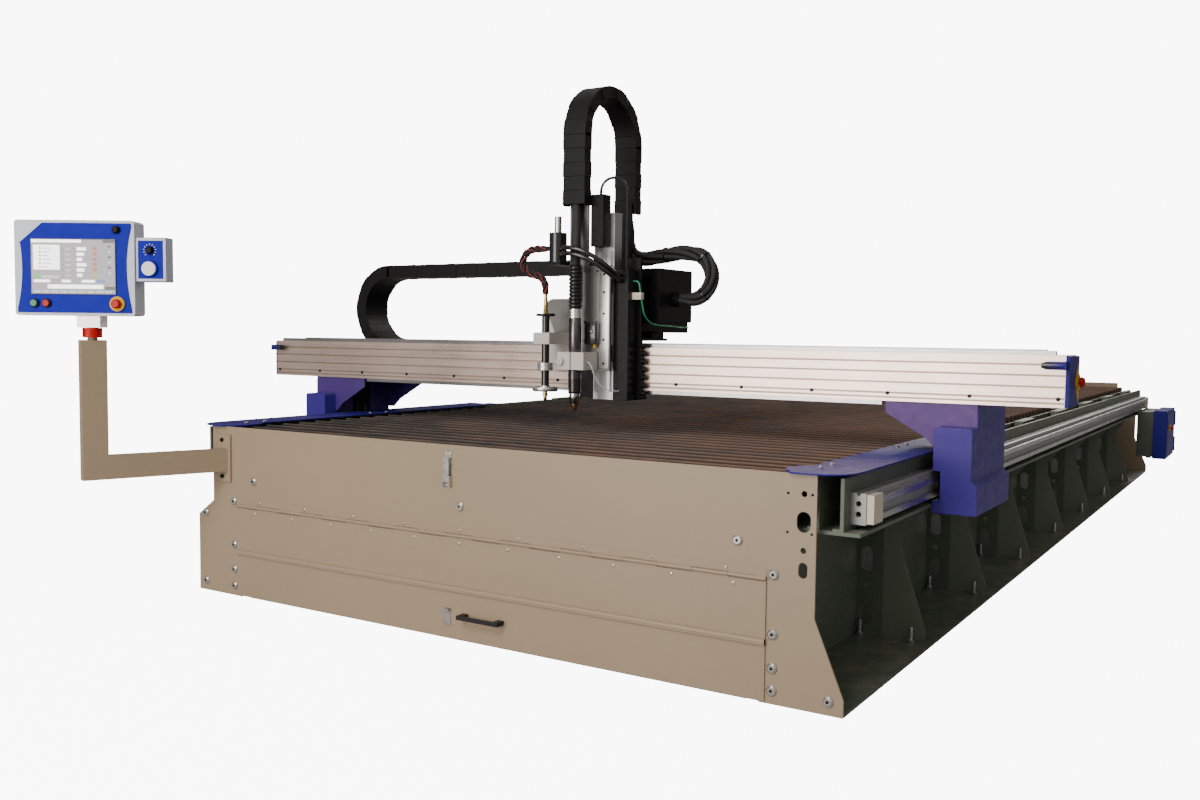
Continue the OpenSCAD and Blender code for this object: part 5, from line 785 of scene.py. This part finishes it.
class TABLE_OT_chains(bpy.types.Operator):
    """Build both cable chains link by link"""

    bl_idname = "cutting_table.chains"
    bl_label = "Cable chains"

    def execute(self, context):
        size = context.scene.table_chains
        self.beam_chain(size)
        self.lift_chain(size)
        return {"FINISHED"}

    def run(self, start, along, outward, count, link):
        """A straight row of links."""
        form = bmesh.new()
        for index in range(count):
            centre = start + along * link["length"] * (index + 0.5)
            add_link(form, spot_of(centre, along, outward), index % 2 == 0, **link)
        return form

    def turn(self, centre, first, second, radius, count, link):
        """Half a circle of links, from first round to its opposite over second."""
        link = {**link, "length": math.pi * radius / count}
        form = bmesh.new()
        for index in range(count):
            angle = math.pi * (index + 0.5) / count
            outward = first * math.cos(angle) + second * math.sin(angle)
            along = second * math.cos(angle) - first * math.sin(angle)
            bent = bmesh.new()
            add_link(bent, Matrix(), index % 2 == 0, **link)
            bend_form(bent, radius)
            join_form(form, bent, spot_of(centre + outward * radius, along, outward))
        return form

    def piece(self, name, form, bodies, first, last, node=None):
        """A stretch of chain, fixed where it is built; the two bodies given are not used."""
        made = new_piece(name, form, "chain_plastic", slot="black_plastic")
        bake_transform(made)
        if node:
            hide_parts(node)

    def beam_chain(self, size):
        """The flat chain behind the beam: its two runs and its bend."""
        bodies = ("gantry", "carriage")
        low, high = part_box("beam_chain_low")
        up_low, up_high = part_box("beam_chain_up")
        height = high.z - low.z
        link = {"length": size.beam_pitch, "height": height, "width": high.y - low.y, "plate": size.plate,
                "lid": size.lid}
        radius = (up_high.z - up_low.z - height) / 2
        middle = Vector((up_low.x + radius + height / 2, (low.y + high.y) / 2, (up_low.z + up_high.z) / 2))
        twice = 2 * middle.x
        for name, node, side, end, first, last in (
                ("beam_chain_lower_run", "beam_chain_low", -UP, high.x, high.x, twice - high.x),
                ("beam_chain_upper_run", "beam_chain_up", UP, up_high.x, twice - up_high.x, up_high.x)):
            count = round((end - middle.x) / size.beam_pitch)
            links = self.run(middle + side * radius, RIGHT, side, count, link)
            self.piece(name, links, bodies, (first, 0, 0), (last, 0, 0), node)
        bend = self.turn(middle, UP, -RIGHT, radius, BEND_LINKS, link)
        self.piece("beam_chain_bend", bend, bodies, (middle.x - FAR, 0, 0), (middle.x + FAR, 0, 0))

    def lift_chain(self, size):
        """The standing chain of the torch: its two legs and its arch."""
        bodies = ("carriage", "torch_head")
        low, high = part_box("lift_chain_rear")
        front_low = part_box("lift_chain_front")[0]
        height = high.y - low.y
        link = {"length": size.lift_pitch, "height": height, "width": high.x - low.x, "plate": size.plate,
                "lid": size.lid}
        radius = (high.y - front_low.y - height) / 2
        middle = Vector(((low.x + high.x) / 2, (front_low.y + high.y) / 2, high.z))
        count = round((high.z - low.z) / size.lift_pitch)
        for name, node, side, first, last in (
                ("lift_chain_rear_leg", "lift_chain_rear", BACK, low.z, 2 * high.z - low.z),
                ("lift_chain_front_leg", "lift_chain_front", -BACK, 2 * high.z - front_low.z, front_low.z)):
            links = self.run(middle + side * radius, -UP, side, count, link)
            self.piece(name, links, bodies, (0, 0, first), (0, 0, last), node)
        arch = self.turn(middle, -BACK, UP, radius, ARCH_LINKS, link)
        self.piece("lift_chain_arch", arch, bodies, (0, 0, middle.z - FAR), (0, 0, middle.z + FAR))


LIFT_FACE = FRONT + 0.722
LIFT_LEFT, LIFT_RIGHT, LIFT_FOOT, LIFT_HEAD = 0.072, 0.208, 1.022, 1.462
STRIP_DEPTH = 0.0035


class TABLE_OT_torch(bpy.types.Operator):
    """Turn the cutting torch, its collars and its bellows"""

    bl_idname = "cutting_table.torch"
    bl_label = "Torch"

    def execute(self, context):
        cap = [(0.020, 0.9250), (0.0270, 0.9250), (0.0284, 0.9275)]
        for foot in (0.934 + 0.0075 * step for step in range(7)):
            cap += [(0.0284, foot), (0.0272, foot + 0.0012), (0.0272, foot + 0.0030), (0.0284, foot + 0.0042)]
        rings = [(0.022, 1.2400), (0.0290, 1.2400)]
        for foot in (1.2420, 1.2550, 1.2680):
            rings += [(0.0320, foot), (0.0320, foot + 0.0080), (0.0285, foot + 0.0090),
                      (0.0285, foot + 0.0110)]
        low, high = (corner.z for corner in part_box("bellows"))
        count, cuff, gap = 11, 0.006, 0.0004
        pitch = (high - low - 2 * cuff) / count
        folds = [(0.020, low + gap), (0.0290, low + gap)]
        for foot in (low + cuff + pitch * step for step in range(count)):
            folds += [(0.0240, foot), (0.0295, foot + pitch * 0.35), (0.0298, foot + pitch * 0.5),
                      (0.0295, foot + pitch * 0.65)]
        made = turned_pieces("bellows", "torch_head", (
            ("torch_tip", "copper", "brass", (48, [
                (0.003, 0.8525), (0.0085, 0.8525), (0.0105, 0.856), (0.0125, 0.870), (0.0150, 0.8785),
                (0.0150, 0.8806)])),
            ("torch_shield", "chrome_steel", "steel", (48, [
                (0.012, 0.8802), (0.0182, 0.8802), (0.0196, 0.884), (0.0230, 0.906), (0.0236, 0.912),
                (0.0236, 0.9252)])),
            ("torch_cap", "black_gloss", "black_plastic", (48, [
                *cap, (0.0284, 1.020), (0.0270, 1.0245), (0.0270, 1.100)])),
            ("torch_barrel", "dark_steel", "steel", (48, [
                (0.020, 1.0990), (0.0262, 1.0990), (0.0270, 1.1010), (0.0270, 1.2350), (0.0250, 1.2405)])),
            ("torch_rings", "chrome_steel", "steel", (48, [*rings, (0.0300, 1.2800)])),
            ("torch_bellows", "bellows_rubber", "rubber", (48, [
                *folds, (0.0240, high - cuff), (0.0280, high - gap)]))))
        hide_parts("torch")
        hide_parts("bellows")
        self.plate_fittings()
        return {"FINISHED"}

    def plate_fittings(self):
        """Wear strip and sensor block on the lift plate, and the screws that hold them."""
        strip = bmesh.new()
        add_box(strip, (LIFT_RIGHT - 0.050, LIFT_FACE - STRIP_DEPTH, LIFT_FOOT + 0.008),
                (LIFT_RIGHT - 0.002, LIFT_FACE, LIFT_HEAD - 0.004), 0.001)
        new_piece("lift_plate_strip", strip, "plate_aluminium", "torch_head", "aluminium")
        screws = bmesh.new()
        for rise in (0.030, 0.130, 0.240, 0.330, 0.405):
            spot = Vector((LIFT_RIGHT - 0.026, LIFT_FACE - STRIP_DEPTH, LIFT_FOOT + rise))
            add_turned(screws, spot, -BACK, [
                (0.0052, 0.0), (0.0052, 0.0022), (0.0044, 0.0030), (0.0020, 0.0031)], 20)
        for x in (LIFT_LEFT + 0.012, LIFT_LEFT + 0.074):
            for rise in (0.125, 0.205, 0.420):
                spot = Vector((x, LIFT_FACE, LIFT_FOOT + rise))
                add_turned(screws, spot, -BACK, [(0.0045, 0.0), (0.0045, 0.0030), (0.0036, 0.0040)], 20)
        new_piece("lift_plate_screws", screws, "black_metal", "torch_head", "black_metal")
        block = bmesh.new()
        foot = Vector((LIFT_RIGHT - 0.100, LIFT_FACE, LIFT_FOOT + 0.110))
        add_box(block, foot - Vector((0.004, 0.034, 0.0)), foot + Vector((0.050, 0.0, 0.094)), 0.003)
        add_box(block, foot + Vector((0.008, -0.037, 0.046)), foot + Vector((0.040, -0.033, 0.064)), 0.001)
        new_piece("sensor_block", block, "black_gloss", "torch_head", "black_plastic")
        screw_piece("sensor_plug", [foot + Vector((0.038, -0.018, -0.014))], [
            (0.0035, 0.0), (0.0050, 0.0), (0.0050, 0.009), (0.0062, 0.010), (0.0062, 0.0145)],
            "yellow_plastic", "torch_head", "red_plastic", 16, UP)


class TABLE_OT_marker(bpy.types.Operator):
    """Turn the marking head with its shoe, rod and fittings"""

    bl_idname = "cutting_table.marker"
    bl_label = "Marking head"

    def execute(self, context):
        made = turned_pieces("marker", "marker_head", (
            ("marker_tip", "brass", "brass", (48, [
                (0.0035, 0.8862), (0.0070, 0.8862), (0.0085, 0.8900), (0.0085, 0.9040), (0.0120, 0.9060),
                (0.0120, 0.9150), (0.0095, 0.9170), (0.0095, 0.9262)])),
            ("marker_shoe", "plate_aluminium", "aluminium", (64, [
                (0.010, 0.9252), (0.0500, 0.9252), (0.0545, 0.9275), (0.0560, 0.9320), (0.0560, 0.9425),
                (0.0548, 0.9448), (0.0520, 0.9448), (0.0505, 0.9400), (0.0260, 0.9395), (0.0220, 0.9500)])),
            ("marker_rod", "black_gloss", "black_plastic", (48, [
                (0.010, 0.9445), (0.0170, 0.9445), (0.0170, 1.0155), (0.0158, 1.0160), (0.0158, 1.0500),
                (0.0170, 1.0505), (0.0170, 1.2495), (0.0150, 1.2505)])),
            ("marker_collar", "plate_aluminium", "aluminium", (48, [
                (0.012, 1.0162), (0.0335, 1.0162), (0.0350, 1.0178), (0.0350, 1.0300), (0.0330, 1.0310),
                (0.0330, 1.0350), (0.0350, 1.0360), (0.0350, 1.0482), (0.0335, 1.0498), (0.0160, 1.0498)])),
            ("marker_disc", "black_metal", "black_metal", (48, [
                (0.010, 1.2502), (0.0405, 1.2502), (0.0420, 1.2520), (0.0420, 1.2600), (0.0405, 1.2618),
                (0.010, 1.2618)])),
            ("marker_fitting", "brass", "brass",
             (6, [(0.006, 1.2615), (0.0130, 1.2615), (0.0130, 1.2760), (0.0105, 1.2775), (0.0105, 1.2980)]),
             (24, [(0.004, 1.2975), (0.0095, 1.2975), (0.0095, 1.3200), (0.0075, 1.3225),
                   (0.0075, 1.3460)]))))
        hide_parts("marker")
        return {"FINISHED"}


# The screen in the console's frame, the step between layers of its picture, and its fields in shares of it
SCREEN_LEFT, SCREEN_RIGHT, SCREEN_FOOT, SCREEN_HEAD, SCREEN_FRONT = -0.2125, 0.1225, 1.3175, 1.5335, -0.0622
LAYER = 0.00012
FIELDS = (
    (0.0, 0.0, 1.0, 1.0, "grey"), (0.0, 0.945, 0.60, 1.0, "white"), (0.86, 0.945, 1.0, 1.0, "dark"),
    (0.02, 0.44, 0.34, 0.90, "white"), (0.02, 0.27, 0.105, 0.345, "green"),
    (0.115, 0.28, 0.33, 0.335, "pale"), (0.19, 0.09, 0.86, 0.165, "white"), (0.88, 0.07, 1.0, 0.13, "dark"))


def screen_tiles():
    """Plain blocks of the screen picture as shares of its width and height, with their colours."""
    tiles = list(FIELDS)
    for row in range(6):
        foot, line = 0.32 + row * 0.098, row * 0.07
        tiles += [
            (0.37, foot, 0.39, foot + 0.03, "blue"), (0.405, foot, 0.47, foot + 0.025, "pale"),
            (0.545, foot - 0.01, 0.61 + 0.025 * (row % 3), foot + 0.05, "white"),
            (0.74, foot, 0.785, foot + 0.055, "amber" if row else "gold"),
            (0.92, foot + 0.05, 0.955, foot + 0.085, "dark" if row % 2 else "pale"),
            (0.09, 0.475 + line, 0.115, 0.51 + line, "green" if row % 3 == 1 else "gold"),
            (0.13, 0.48 + line, 0.20 + 0.02 * (row % 3), 0.495 + line, "grey")]
    tiles += [(0.02, 0.205, 0.22, 0.255, "white"), (0.36, 0.205, 0.47, 0.255, "white"),
              (0.60, 0.205, 0.76, 0.255, "white"), (0.78, 0.205, 0.88, 0.255, "blue")]
    columns = [column * 0.108 for column in range(9)]
    return tiles + [(0.02 + left, 0.015, 0.10 + left, 0.05, "pale") for left in columns]


class TABLE_OT_console(bpy.types.Operator):
    """Draw the lit picture of the console screen and its small fittings"""

    bl_idname = "cutting_table.console"
    bl_label = "Console"

    def execute(self, context):
        spot = console_spot()
        tiles = screen_tiles()
        shades = sorted({tile[4] for tile in tiles})
        form = bmesh.new()
        for index, (x0, z0, x1, z1, shade) in enumerate(tiles):
            depth = SCREEN_FRONT - LAYER * (index > 0) - LAYER * (index >= len(FIELDS))
            points = [Vector((SCREEN_LEFT + (SCREEN_RIGHT - SCREEN_LEFT) * x, depth,
                              SCREEN_FOOT + (SCREEN_HEAD - SCREEN_FOOT) * z))
                      for x, z in ((x0, z0), (x1, z0), (x1, z1), (x0, z1))]
            face = form.faces.new([form.verts.new(spot @ point) for point in points])
            face.material_index = shades.index(shade)
        new_piece("screen_picture", form, ["screen_" + shade for shade in shades], "console", "glass")
        self.side_box(spot)
        self.corner(spot)
        return {"FINISHED"}

    def side_box(self, spot):
        """Light frame of the side box and the marks round its dial."""
        border = bmesh.new()
        left, right, low, high, front = 0.2015, 0.3245, 1.3695, 1.5455, -0.0452
        foot, head = low + 0.011, high - 0.012
        for x0, x1, z0, z1 in ((left, right, head, high), (left, right, low, foot),
                               (left, left + 0.010, foot, head), (right - 0.012, right, foot, head)):
            add_box(border, (x0, front - 0.0018, z0), (x1, front + 0.0004, z1), 0.0008, spot)
        new_piece("side_box_frame", border, "casing_paint", "console", "white_plastic")
        marks = bmesh.new()
        dial = spot.inverted() @ middle_of("dial")
        for step in range(11):
            angle = math.radians(-135 + 27 * step)
            turn = spot @ Matrix.Translation((dial.x, front, dial.z)) @ Matrix.Rotation(angle, 4, "Y")
            add_box(marks, (-0.0012, -0.0008, 0.0205), (0.0012, 0.0, 0.0275), 0.0003, turn, 1)
        new_piece("dial_marks", marks, "white_plastic", "console", "white_plastic")

    def corner(self, spot):
        """Light corner of the console's face."""
        face = NODES["console_face"]
        inside = spot.inverted()
        corners = [inside @ (face.matrix_world @ vertex.co) for vertex in face.data.vertices]
        edge, top = min(c.x for c in corners), max(c.z for c in corners)
        accent = bmesh.new()
        wide, narrow, drop, front, back = 0.103, 0.011, 0.080, -0.0592, -0.0578
        outline = [(edge, top - drop), (edge + narrow, top - drop), (edge + wide, top), (edge, top)]
        add_plate(accent, spot, outline, front, back)
        new_piece("corner_accent", accent, "casing_paint", "console", "white_plastic")


def islands(node):
    """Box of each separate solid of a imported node, as (low, high) corners."""
    form = bmesh.new()
    form.from_mesh(NODES[node].data)
    form.transform(NODES[node].matrix_world)
    bmesh.ops.remove_doubles(form, verts=form.verts, dist=1e-5)
    seen, found = set(), []
    for seed in form.verts:
        if seed in seen:
            continue
        seen.add(seed)
        solid = [seed]
        for vertex in solid:
            for other in (edge.other_vert(vertex) for edge in vertex.link_edges):
                if other not in seen:
                    seen.add(other)
                    solid.append(other)
        found.append([Vector([pick(vertex.co[axis] for vertex in solid) for axis in range(3)])
                      for pick in (min, max)])
    form.free()
    return found


DOOR_FACE = FRONT - 0.005
BEAD_HEIGHT, HINGE_SCREW_HEIGHT = 0.200, 0.378
SOCKET_SHARE, SOCKET_DEPTH, SOCKET_RISE = 0.17, 0.002, 0.0004
BOLT_LEAST, BOLT_ROUND = 0.010, 0.002
GROOVE_DROPS = (0.034, 0.072, 0.112, 0.152, 0.169)
GROOVE_HALF = 0.0029


class TABLE_OT_fittings(bpy.types.Operator):
    """Add the sockets of the panel bolts and the small fittings of beam, carriage and door"""

    bl_idname = "cutting_table.fittings"
    bl_label = "Fittings"

    def execute(self, context):
        sockets = bmesh.new()
        for low, high in islands("fasteners"):
            middle = (low + high) / 2
            width = high.x - low.x
            if middle.y > FRONT or abs(width - (high.z - low.z)) > BOLT_ROUND or width < BOLT_LEAST:
                continue
            face = Vector((middle.x, low.y, middle.z))
            add_rod(sockets, face + BACK * SOCKET_DEPTH, face - BACK * SOCKET_RISE, width * SOCKET_SHARE, 6)
        new_piece("bolt_sockets", sockets, "black_metal", "table", "black_metal")
        self.door_fittings()
        self.beam_fittings()
        self.carriage_fittings()
        return {"FINISHED"}

    def door_fittings(self):
        """Rounded bead and lower hinge screws of the slag door, and the screws of its latch."""
        low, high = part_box("slag_door")
        bead = bmesh.new()
        depth, half, steps = 0.009, 0.011, 14
        angles = [math.pi * (step / steps - 0.5) for step in range(steps + 1)]
        outline = [(depth * math.cos(angle), half * math.sin(angle)) for angle in angles]
        add_plate(bead, spot_of(Vector((0, DOOR_FACE, BEAD_HEIGHT)), -BACK, UP), outline, low.x, high.x)
        new_piece("door_bead", bead, "taupe_paint", "door", "panel_paint")
        count = 11
        spots = [(low.x + (high.x - low.x) * (step + 0.5) / count, DOOR_FACE, HINGE_SCREW_HEIGHT)
                 for step in range(count)]
        screw_piece("door_screws", spots, [
            (0.0060, 0.0), (0.0060, 0.0014), (0.0045, 0.0028), (0.0020, 0.0032)],
            "zinc_steel", "door", "steel")
        low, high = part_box("latch_base")
        face, side, end = FRONT - 0.003, 0.007, 0.008
        spots = [(x, face, z) for x in (low.x + side, high.x - side) for z in (high.z - end, low.z + end)]
        screw_piece("latch_screws", spots, [
            (0.0050, 0.0), (0.0050, 0.0014), (0.0036, 0.0030), (0.0014, 0.0034)],
            "chrome_steel", "table", "steel")

    def beam_fittings(self):
        """Strips of darker aluminium in the beam grooves, painted shade of the grooves, and the row of screws
        in the lowest ones.
        """
        low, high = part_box("beam")
        groove_shade = bmesh.new()
        end, near, far = 0.002, low.y + 0.0022, low.y + 0.0038
        # Darker strips just inside each groove stand in for the grooves' shade: painted shade.
        for middle in (high.z - drop for drop in GROOVE_DROPS):
            add_box(groove_shade, (low.x + end, near, middle - GROOVE_HALF),
                    (high.x - end, far, middle + GROOVE_HALF))
        new_piece("beam_groove_shade", groove_shade, "groove_aluminium", "gantry", "aluminium")
        pitch, seat, height = 0.302, low.y + 0.002, high.z - 0.1535
        spots = [((step + 0.5) * pitch, seat, height) for step in range(-7, 7)]
        screw_piece("beam_screws", spots, [
            (0.0078, 0.0), (0.0078, 0.0038), (0.0066, 0.0052), (0.0030, 0.0054)],
            "black_metal", "gantry", "black_metal", 6)

    def carriage_fittings(self):
        """Earth terminal and the row of knobs on the edge of the carriage plate."""
        terminal = bmesh.new()
        foot = Vector((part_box("lift_column")[1].x, FRONT + 0.786, 1.322))
        add_box(terminal, foot, foot + Vector((0.046, 0.026, 0.030)), 0.002)
        add_turned(terminal, foot + Vector((0.030, 0.0, 0.015)), -BACK, [
            (0.006, 0.0), (0.006, 0.003), (0.004, 0.004)], 16)
        new_piece("earth_terminal", terminal, "cream_plastic", "carriage", "white_plastic")
        edge, middle, lowest, pitch = 0.290, FRONT + 0.843, 0.925, 0.034
        spots = [(edge, middle, lowest + pitch * step) for step in range(7)]
        screw_piece("plate_knobs", spots, [
            (0.0070, -0.002), (0.0070, 0.008), (0.0120, 0.010), (0.0120, 0.024), (0.0095, 0.027)],
            "black_metal", "carriage", "black_metal", 20, RIGHT)


PLAIN_FINISHES = {
    "taupe_paint": ("front_panel", "rear_panel", "slag_door", "console_arm", "door_hinge"),
    "frame_paint": ("bed_trough", "side_gussets", "side_shelves", "cover_hoops"),
    "blue_paint": ("side_covers", "control_cover"), "cover_blue": ("leg_covers",),
    "violet_texture": ("legs",), "rail_aluminium": ("rails",), "cream_plastic": ("rail_stops",),
    "ground_steel": ("rail_guides", "beam_guides"), "beam_aluminium": ("beam",), "slat_steel": ("slats",),
    "zinc_steel": ("latch_base", "latch_lever", "clamp_knob"),
    "black_metal": (
        "rail_bearings", "drive_motors", "carriage_motors", "carriage_brackets", "carriage_plate"),
    "anodised_grey": ("lift_plate",), "cast_grey": ("torch_clamp",),
    "red_plastic": ("clamp_collar", "push_red", "console_stop", "gantry_stop", "control_stop"),
    "green_plastic": ("push_green",), "white_plastic": ("white_button",), "knob_black": ("selector", "dial"),
    "black_gloss": ("screen",), "box_paint": ("control_box",),
}
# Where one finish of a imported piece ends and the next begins
BLACK_BOLTS_RIGHT, BLACK_BOLTS_FOOT = -1.33, 0.5
BARRIER_REACH = 1.96
SIDE_COLUMN = 0.0655
CRATE_LID = 0.0296
GRIP_END = 0.075
ACTUATOR_FOOT, ACTUATOR_HEAD, ROD_GUIDE_HEAD, ROD_GUIDE_BACK = 1.4, 1.607, 1.2, 0.1305
SIDE_BOX_LEFT, SIDE_BOX_FACE = 0.2005, -0.0445
BLOCK_HEAD, BLOCK_HALF = 1.2285, 0.08
STOP_PLATE_FACE, RING_FACE = -0.0586, -0.0595


class TABLE_OT_finishes(bpy.types.Operator):
    """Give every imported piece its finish"""

    bl_idname = "cutting_table.finishes"
    bl_label = "Finishes"

    def execute(self, context):
        for finish, nodes in PLAIN_FINISHES.items():
            for node in nodes:
                dress(node, finish)
        self.gantry()
        self.console()
        return {"FINISHED"}

    def gantry(self):
        """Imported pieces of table, gantry and carriage that join several finishes."""
        stop, box_stop, rods = middle_of("gantry_stop"), middle_of("control_stop"), middle_of("marker")
        beam_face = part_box("beam")[0].y - 0.004
        column_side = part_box("lift_column")[1].x - SIDE_COLUMN
        crate_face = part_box("ignition_box")[0].y + CRATE_LID
        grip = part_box("door_handle")[0].x + GRIP_END
        dress("beam_ends", "blue_paint",
              ("yellow_plastic", lambda p: (p - stop).length < 0.07 and p.x > stop.x - 0.05
               and abs(p.y - stop.y) < 0.045),
              ("black_gloss", lambda p: p.y < beam_face and abs(p.x) < BARRIER_REACH))
        dress("fasteners", "zinc_steel",
              ("black_metal", lambda p: p.x < BLACK_BOLTS_RIGHT and p.z > BLACK_BOLTS_FOOT and p.y < FRONT))
        dress("control_door", "blue_paint", ("yellow_plastic", lambda p: (p - box_stop).length < 0.06))
        dress("lift_column", "plate_aluminium", ("black_metal", lambda p: p.x > column_side))
        dress("ignition_box", "black_metal", ("anodised_grey", lambda p: p.y < crate_face))
        dress("marker_plate", "anodised_grey",
              ("black_gloss", lambda p: ACTUATOR_FOOT < p.z < ACTUATOR_HEAD),
              ("chrome_steel", lambda p: p.z >= ACTUATOR_HEAD),
              ("cast_grey", lambda p: p.y < rods.y + ROD_GUIDE_BACK and p.z < ROD_GUIDE_HEAD))
        dress("door_handle", "rubber", ("zinc_steel", lambda p: p.x < grip))

    def console(self):
        """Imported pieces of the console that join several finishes."""
        inside = console_spot().inverted()
        stop = inside @ middle_of("console_stop")
        dress("console_face", "console_blue",
              ("yellow_plastic", lambda p: (p - stop).length < 0.045 and p.y < STOP_PLATE_FACE),
              ("knob_black", lambda p: p.z < stop.z + 0.02 and p.y < RING_FACE and p.x < stop.x - 0.06),
              within=inside)
        dress("console_case", "casing_paint",
              ("console_blue", lambda p: p.x > SIDE_BOX_LEFT and p.y < SIDE_BOX_FACE),
              ("plate_aluminium", lambda p: p.z < BLOCK_HEAD and abs(p.x) < BLOCK_HALF), within=inside)


FLOOR_NEAR, FLOOR_FAR, FLOOR_HALF, WALL_TOP, WALL_CURVE, CURVE_STEPS = -30.0, 22.0, 60.0, 26.0, 8.0, 12
BRIGHT_SIDE = Vector((0.25, -0.80, 0.55)).normalized()
DARK_SHARE = 0.20


class TABLE_OT_stage(bpy.types.Operator):
    """Set the pale floor and the soft light"""

    bl_idname = "cutting_table.stage"
    bl_label = "Stage"

    def execute(self, context):
        stage = context.scene.table_stage
        self.backdrop(stage, context.scene.table_view.yaw)
        self.sky(stage, context.scene)
        self.light("key_light", (0.2, FRONT - 4.6, 4.6), (0.2, FRONT + 0.4, 0.5), 3.0, stage.key, stage.tone)
        self.light("front_light", (-1.1, FRONT - 6.0, 1.0), (0.2, FRONT, 0.9), 4.2, stage.front, stage.tone)
        self.light("rear_light", (-0.5, FRONT + 14.0, 7.0), (0.0, 2.0, 0.6), 4.0, stage.rear, stage.tone)
        self.light("top_light", (-1.0, 1.0, 8.0), (0.0, 0.0, 0.5), 7.0, stage.fill, stage.tone)
        return {"FINISHED"}

    def backdrop(self, stage, yaw):
        """A floor that curves up behind the table and looks white."""
        painted("stage_floor", stage.floor, 0.75, 0.0, Clouds=0.02, Peel=60.0, bump=0.02, specular=0.1)
        profile = [(FLOOR_NEAR, 0.0), (FLOOR_FAR, 0.0)]
        for step in range(1, CURVE_STEPS + 1):
            angle = math.pi / 2 * step / CURVE_STEPS
            profile.append((FLOOR_FAR + WALL_CURVE * math.sin(angle),
                            WALL_CURVE - WALL_CURVE * math.cos(angle)))
        profile.append((FLOOR_FAR + WALL_CURVE, WALL_TOP))
        form = bmesh.new()
        turn = Matrix.Rotation(yaw, 4, "Z")
        rows = [[form.verts.new(turn @ Vector((x, y, z))) for x in (-FLOOR_HALF, FLOOR_HALF)]
                for y, z in profile]
        for first, second in zip(rows, rows[1:]):
            form.faces.new((first[0], first[1], second[1], second[0]))
        new_piece("stage_backdrop", form, "stage_floor")
        tree = FINISHES["stage_floor"].node_tree
        shader = tree.nodes["Principled BSDF"].inputs
        feed(shader["Emission Strength"], self.seen_white(tree, stage))
        shader["Emission Color"].default_value = (1, 1, 1, 1)

    def sky(self, stage, scene):
        """Even light, brighter from the front, that looks white."""
        scene.world = scene.world or bpy.data.worlds.new("studio")
        scene.world.use_nodes = True
        tree = scene.world.node_tree
        sky = tree.nodes["Background"].inputs
        sky["Color"].default_value = (*stage.tone, 1)
        side = agreement(add_node(tree, "TexCoord", {}, "Generated"), BRIGHT_SIDE)
        even = spread(side, 0.12, 1.0, DARK_SHARE * stage.sky, stage.sky)
        feed(sky["Strength"], even + self.seen_white(tree, stage))

    def seen_white(self, tree, stage):
        """Glow for the camera alone."""
        return add_node(tree, "LightPath", {}, "Is Camera Ray") * stage.glow

    def light(self, name, spot, aim, size, power, tone):
        """A round soft light that looks at a point."""
        lamp = bpy.data.lights.new(name, "AREA")
        lamp.shape = "DISK"
        lamp.size = size
        lamp.energy = power
        lamp.color = tone
        made = bpy.data.objects.new(name, lamp)
        bpy.context.scene.collection.objects.link(made)
        turn = (Vector(aim) - Vector(spot)).to_track_quat("-Z", "Y").to_matrix().to_4x4()
        made.matrix_world = Matrix.Translation(spot) @ turn


STEPS = (TABLE_OT_camera, TABLE_OT_hoses, TABLE_OT_chains, TABLE_OT_torch, TABLE_OT_marker, TABLE_OT_console,
         TABLE_OT_fittings, TABLE_OT_finishes, TABLE_OT_stage)
SETTINGS = {"table_view": ViewSettings, "table_paint": PaintSettings, "table_chains": ChainSettings,
            "table_stage": StageSettings}


class TABLE_PT_panel(bpy.types.Panel):
    """Sizes, colours and steps of the table's looks"""

    bl_label = "Cutting table"
    bl_idname = "TABLE_PT_panel"
    bl_space_type = "VIEW_3D"
    bl_region_type = "UI"
    bl_category = "Cutting table"

    def draw(self, context):
        for name, group in SETTINGS.items():
            box = self.layout.box()
            for setting in group.__annotations__:
                box.prop(getattr(context.scene, name), setting)
        for step in STEPS:
            self.layout.operator(step.bl_idname)


def register():
    for name, group in SETTINGS.items():
        bpy.utils.register_class(group)
        setattr(bpy.types.Scene, name, bpy.props.PointerProperty(type=group))
    for step in STEPS:
        bpy.utils.register_class(step)
    bpy.utils.register_class(TABLE_PT_panel)


def unregister():
    bpy.utils.unregister_class(TABLE_PT_panel)
    for step in reversed(STEPS):
        bpy.utils.unregister_class(step)
    for name, group in SETTINGS.items():
        delattr(bpy.types.Scene, name)
        bpy.utils.unregister_class(group)


def main():
    register()
    build_finishes(bpy.context.scene.table_paint)
    for step in STEPS:
        family, name = step.bl_idname.split(".")
        if getattr(getattr(bpy.ops, family), name)() != {"FINISHED"}:
            raise RuntimeError(f"{step.bl_label} was not made")


if __name__ == "__main__":
    main()
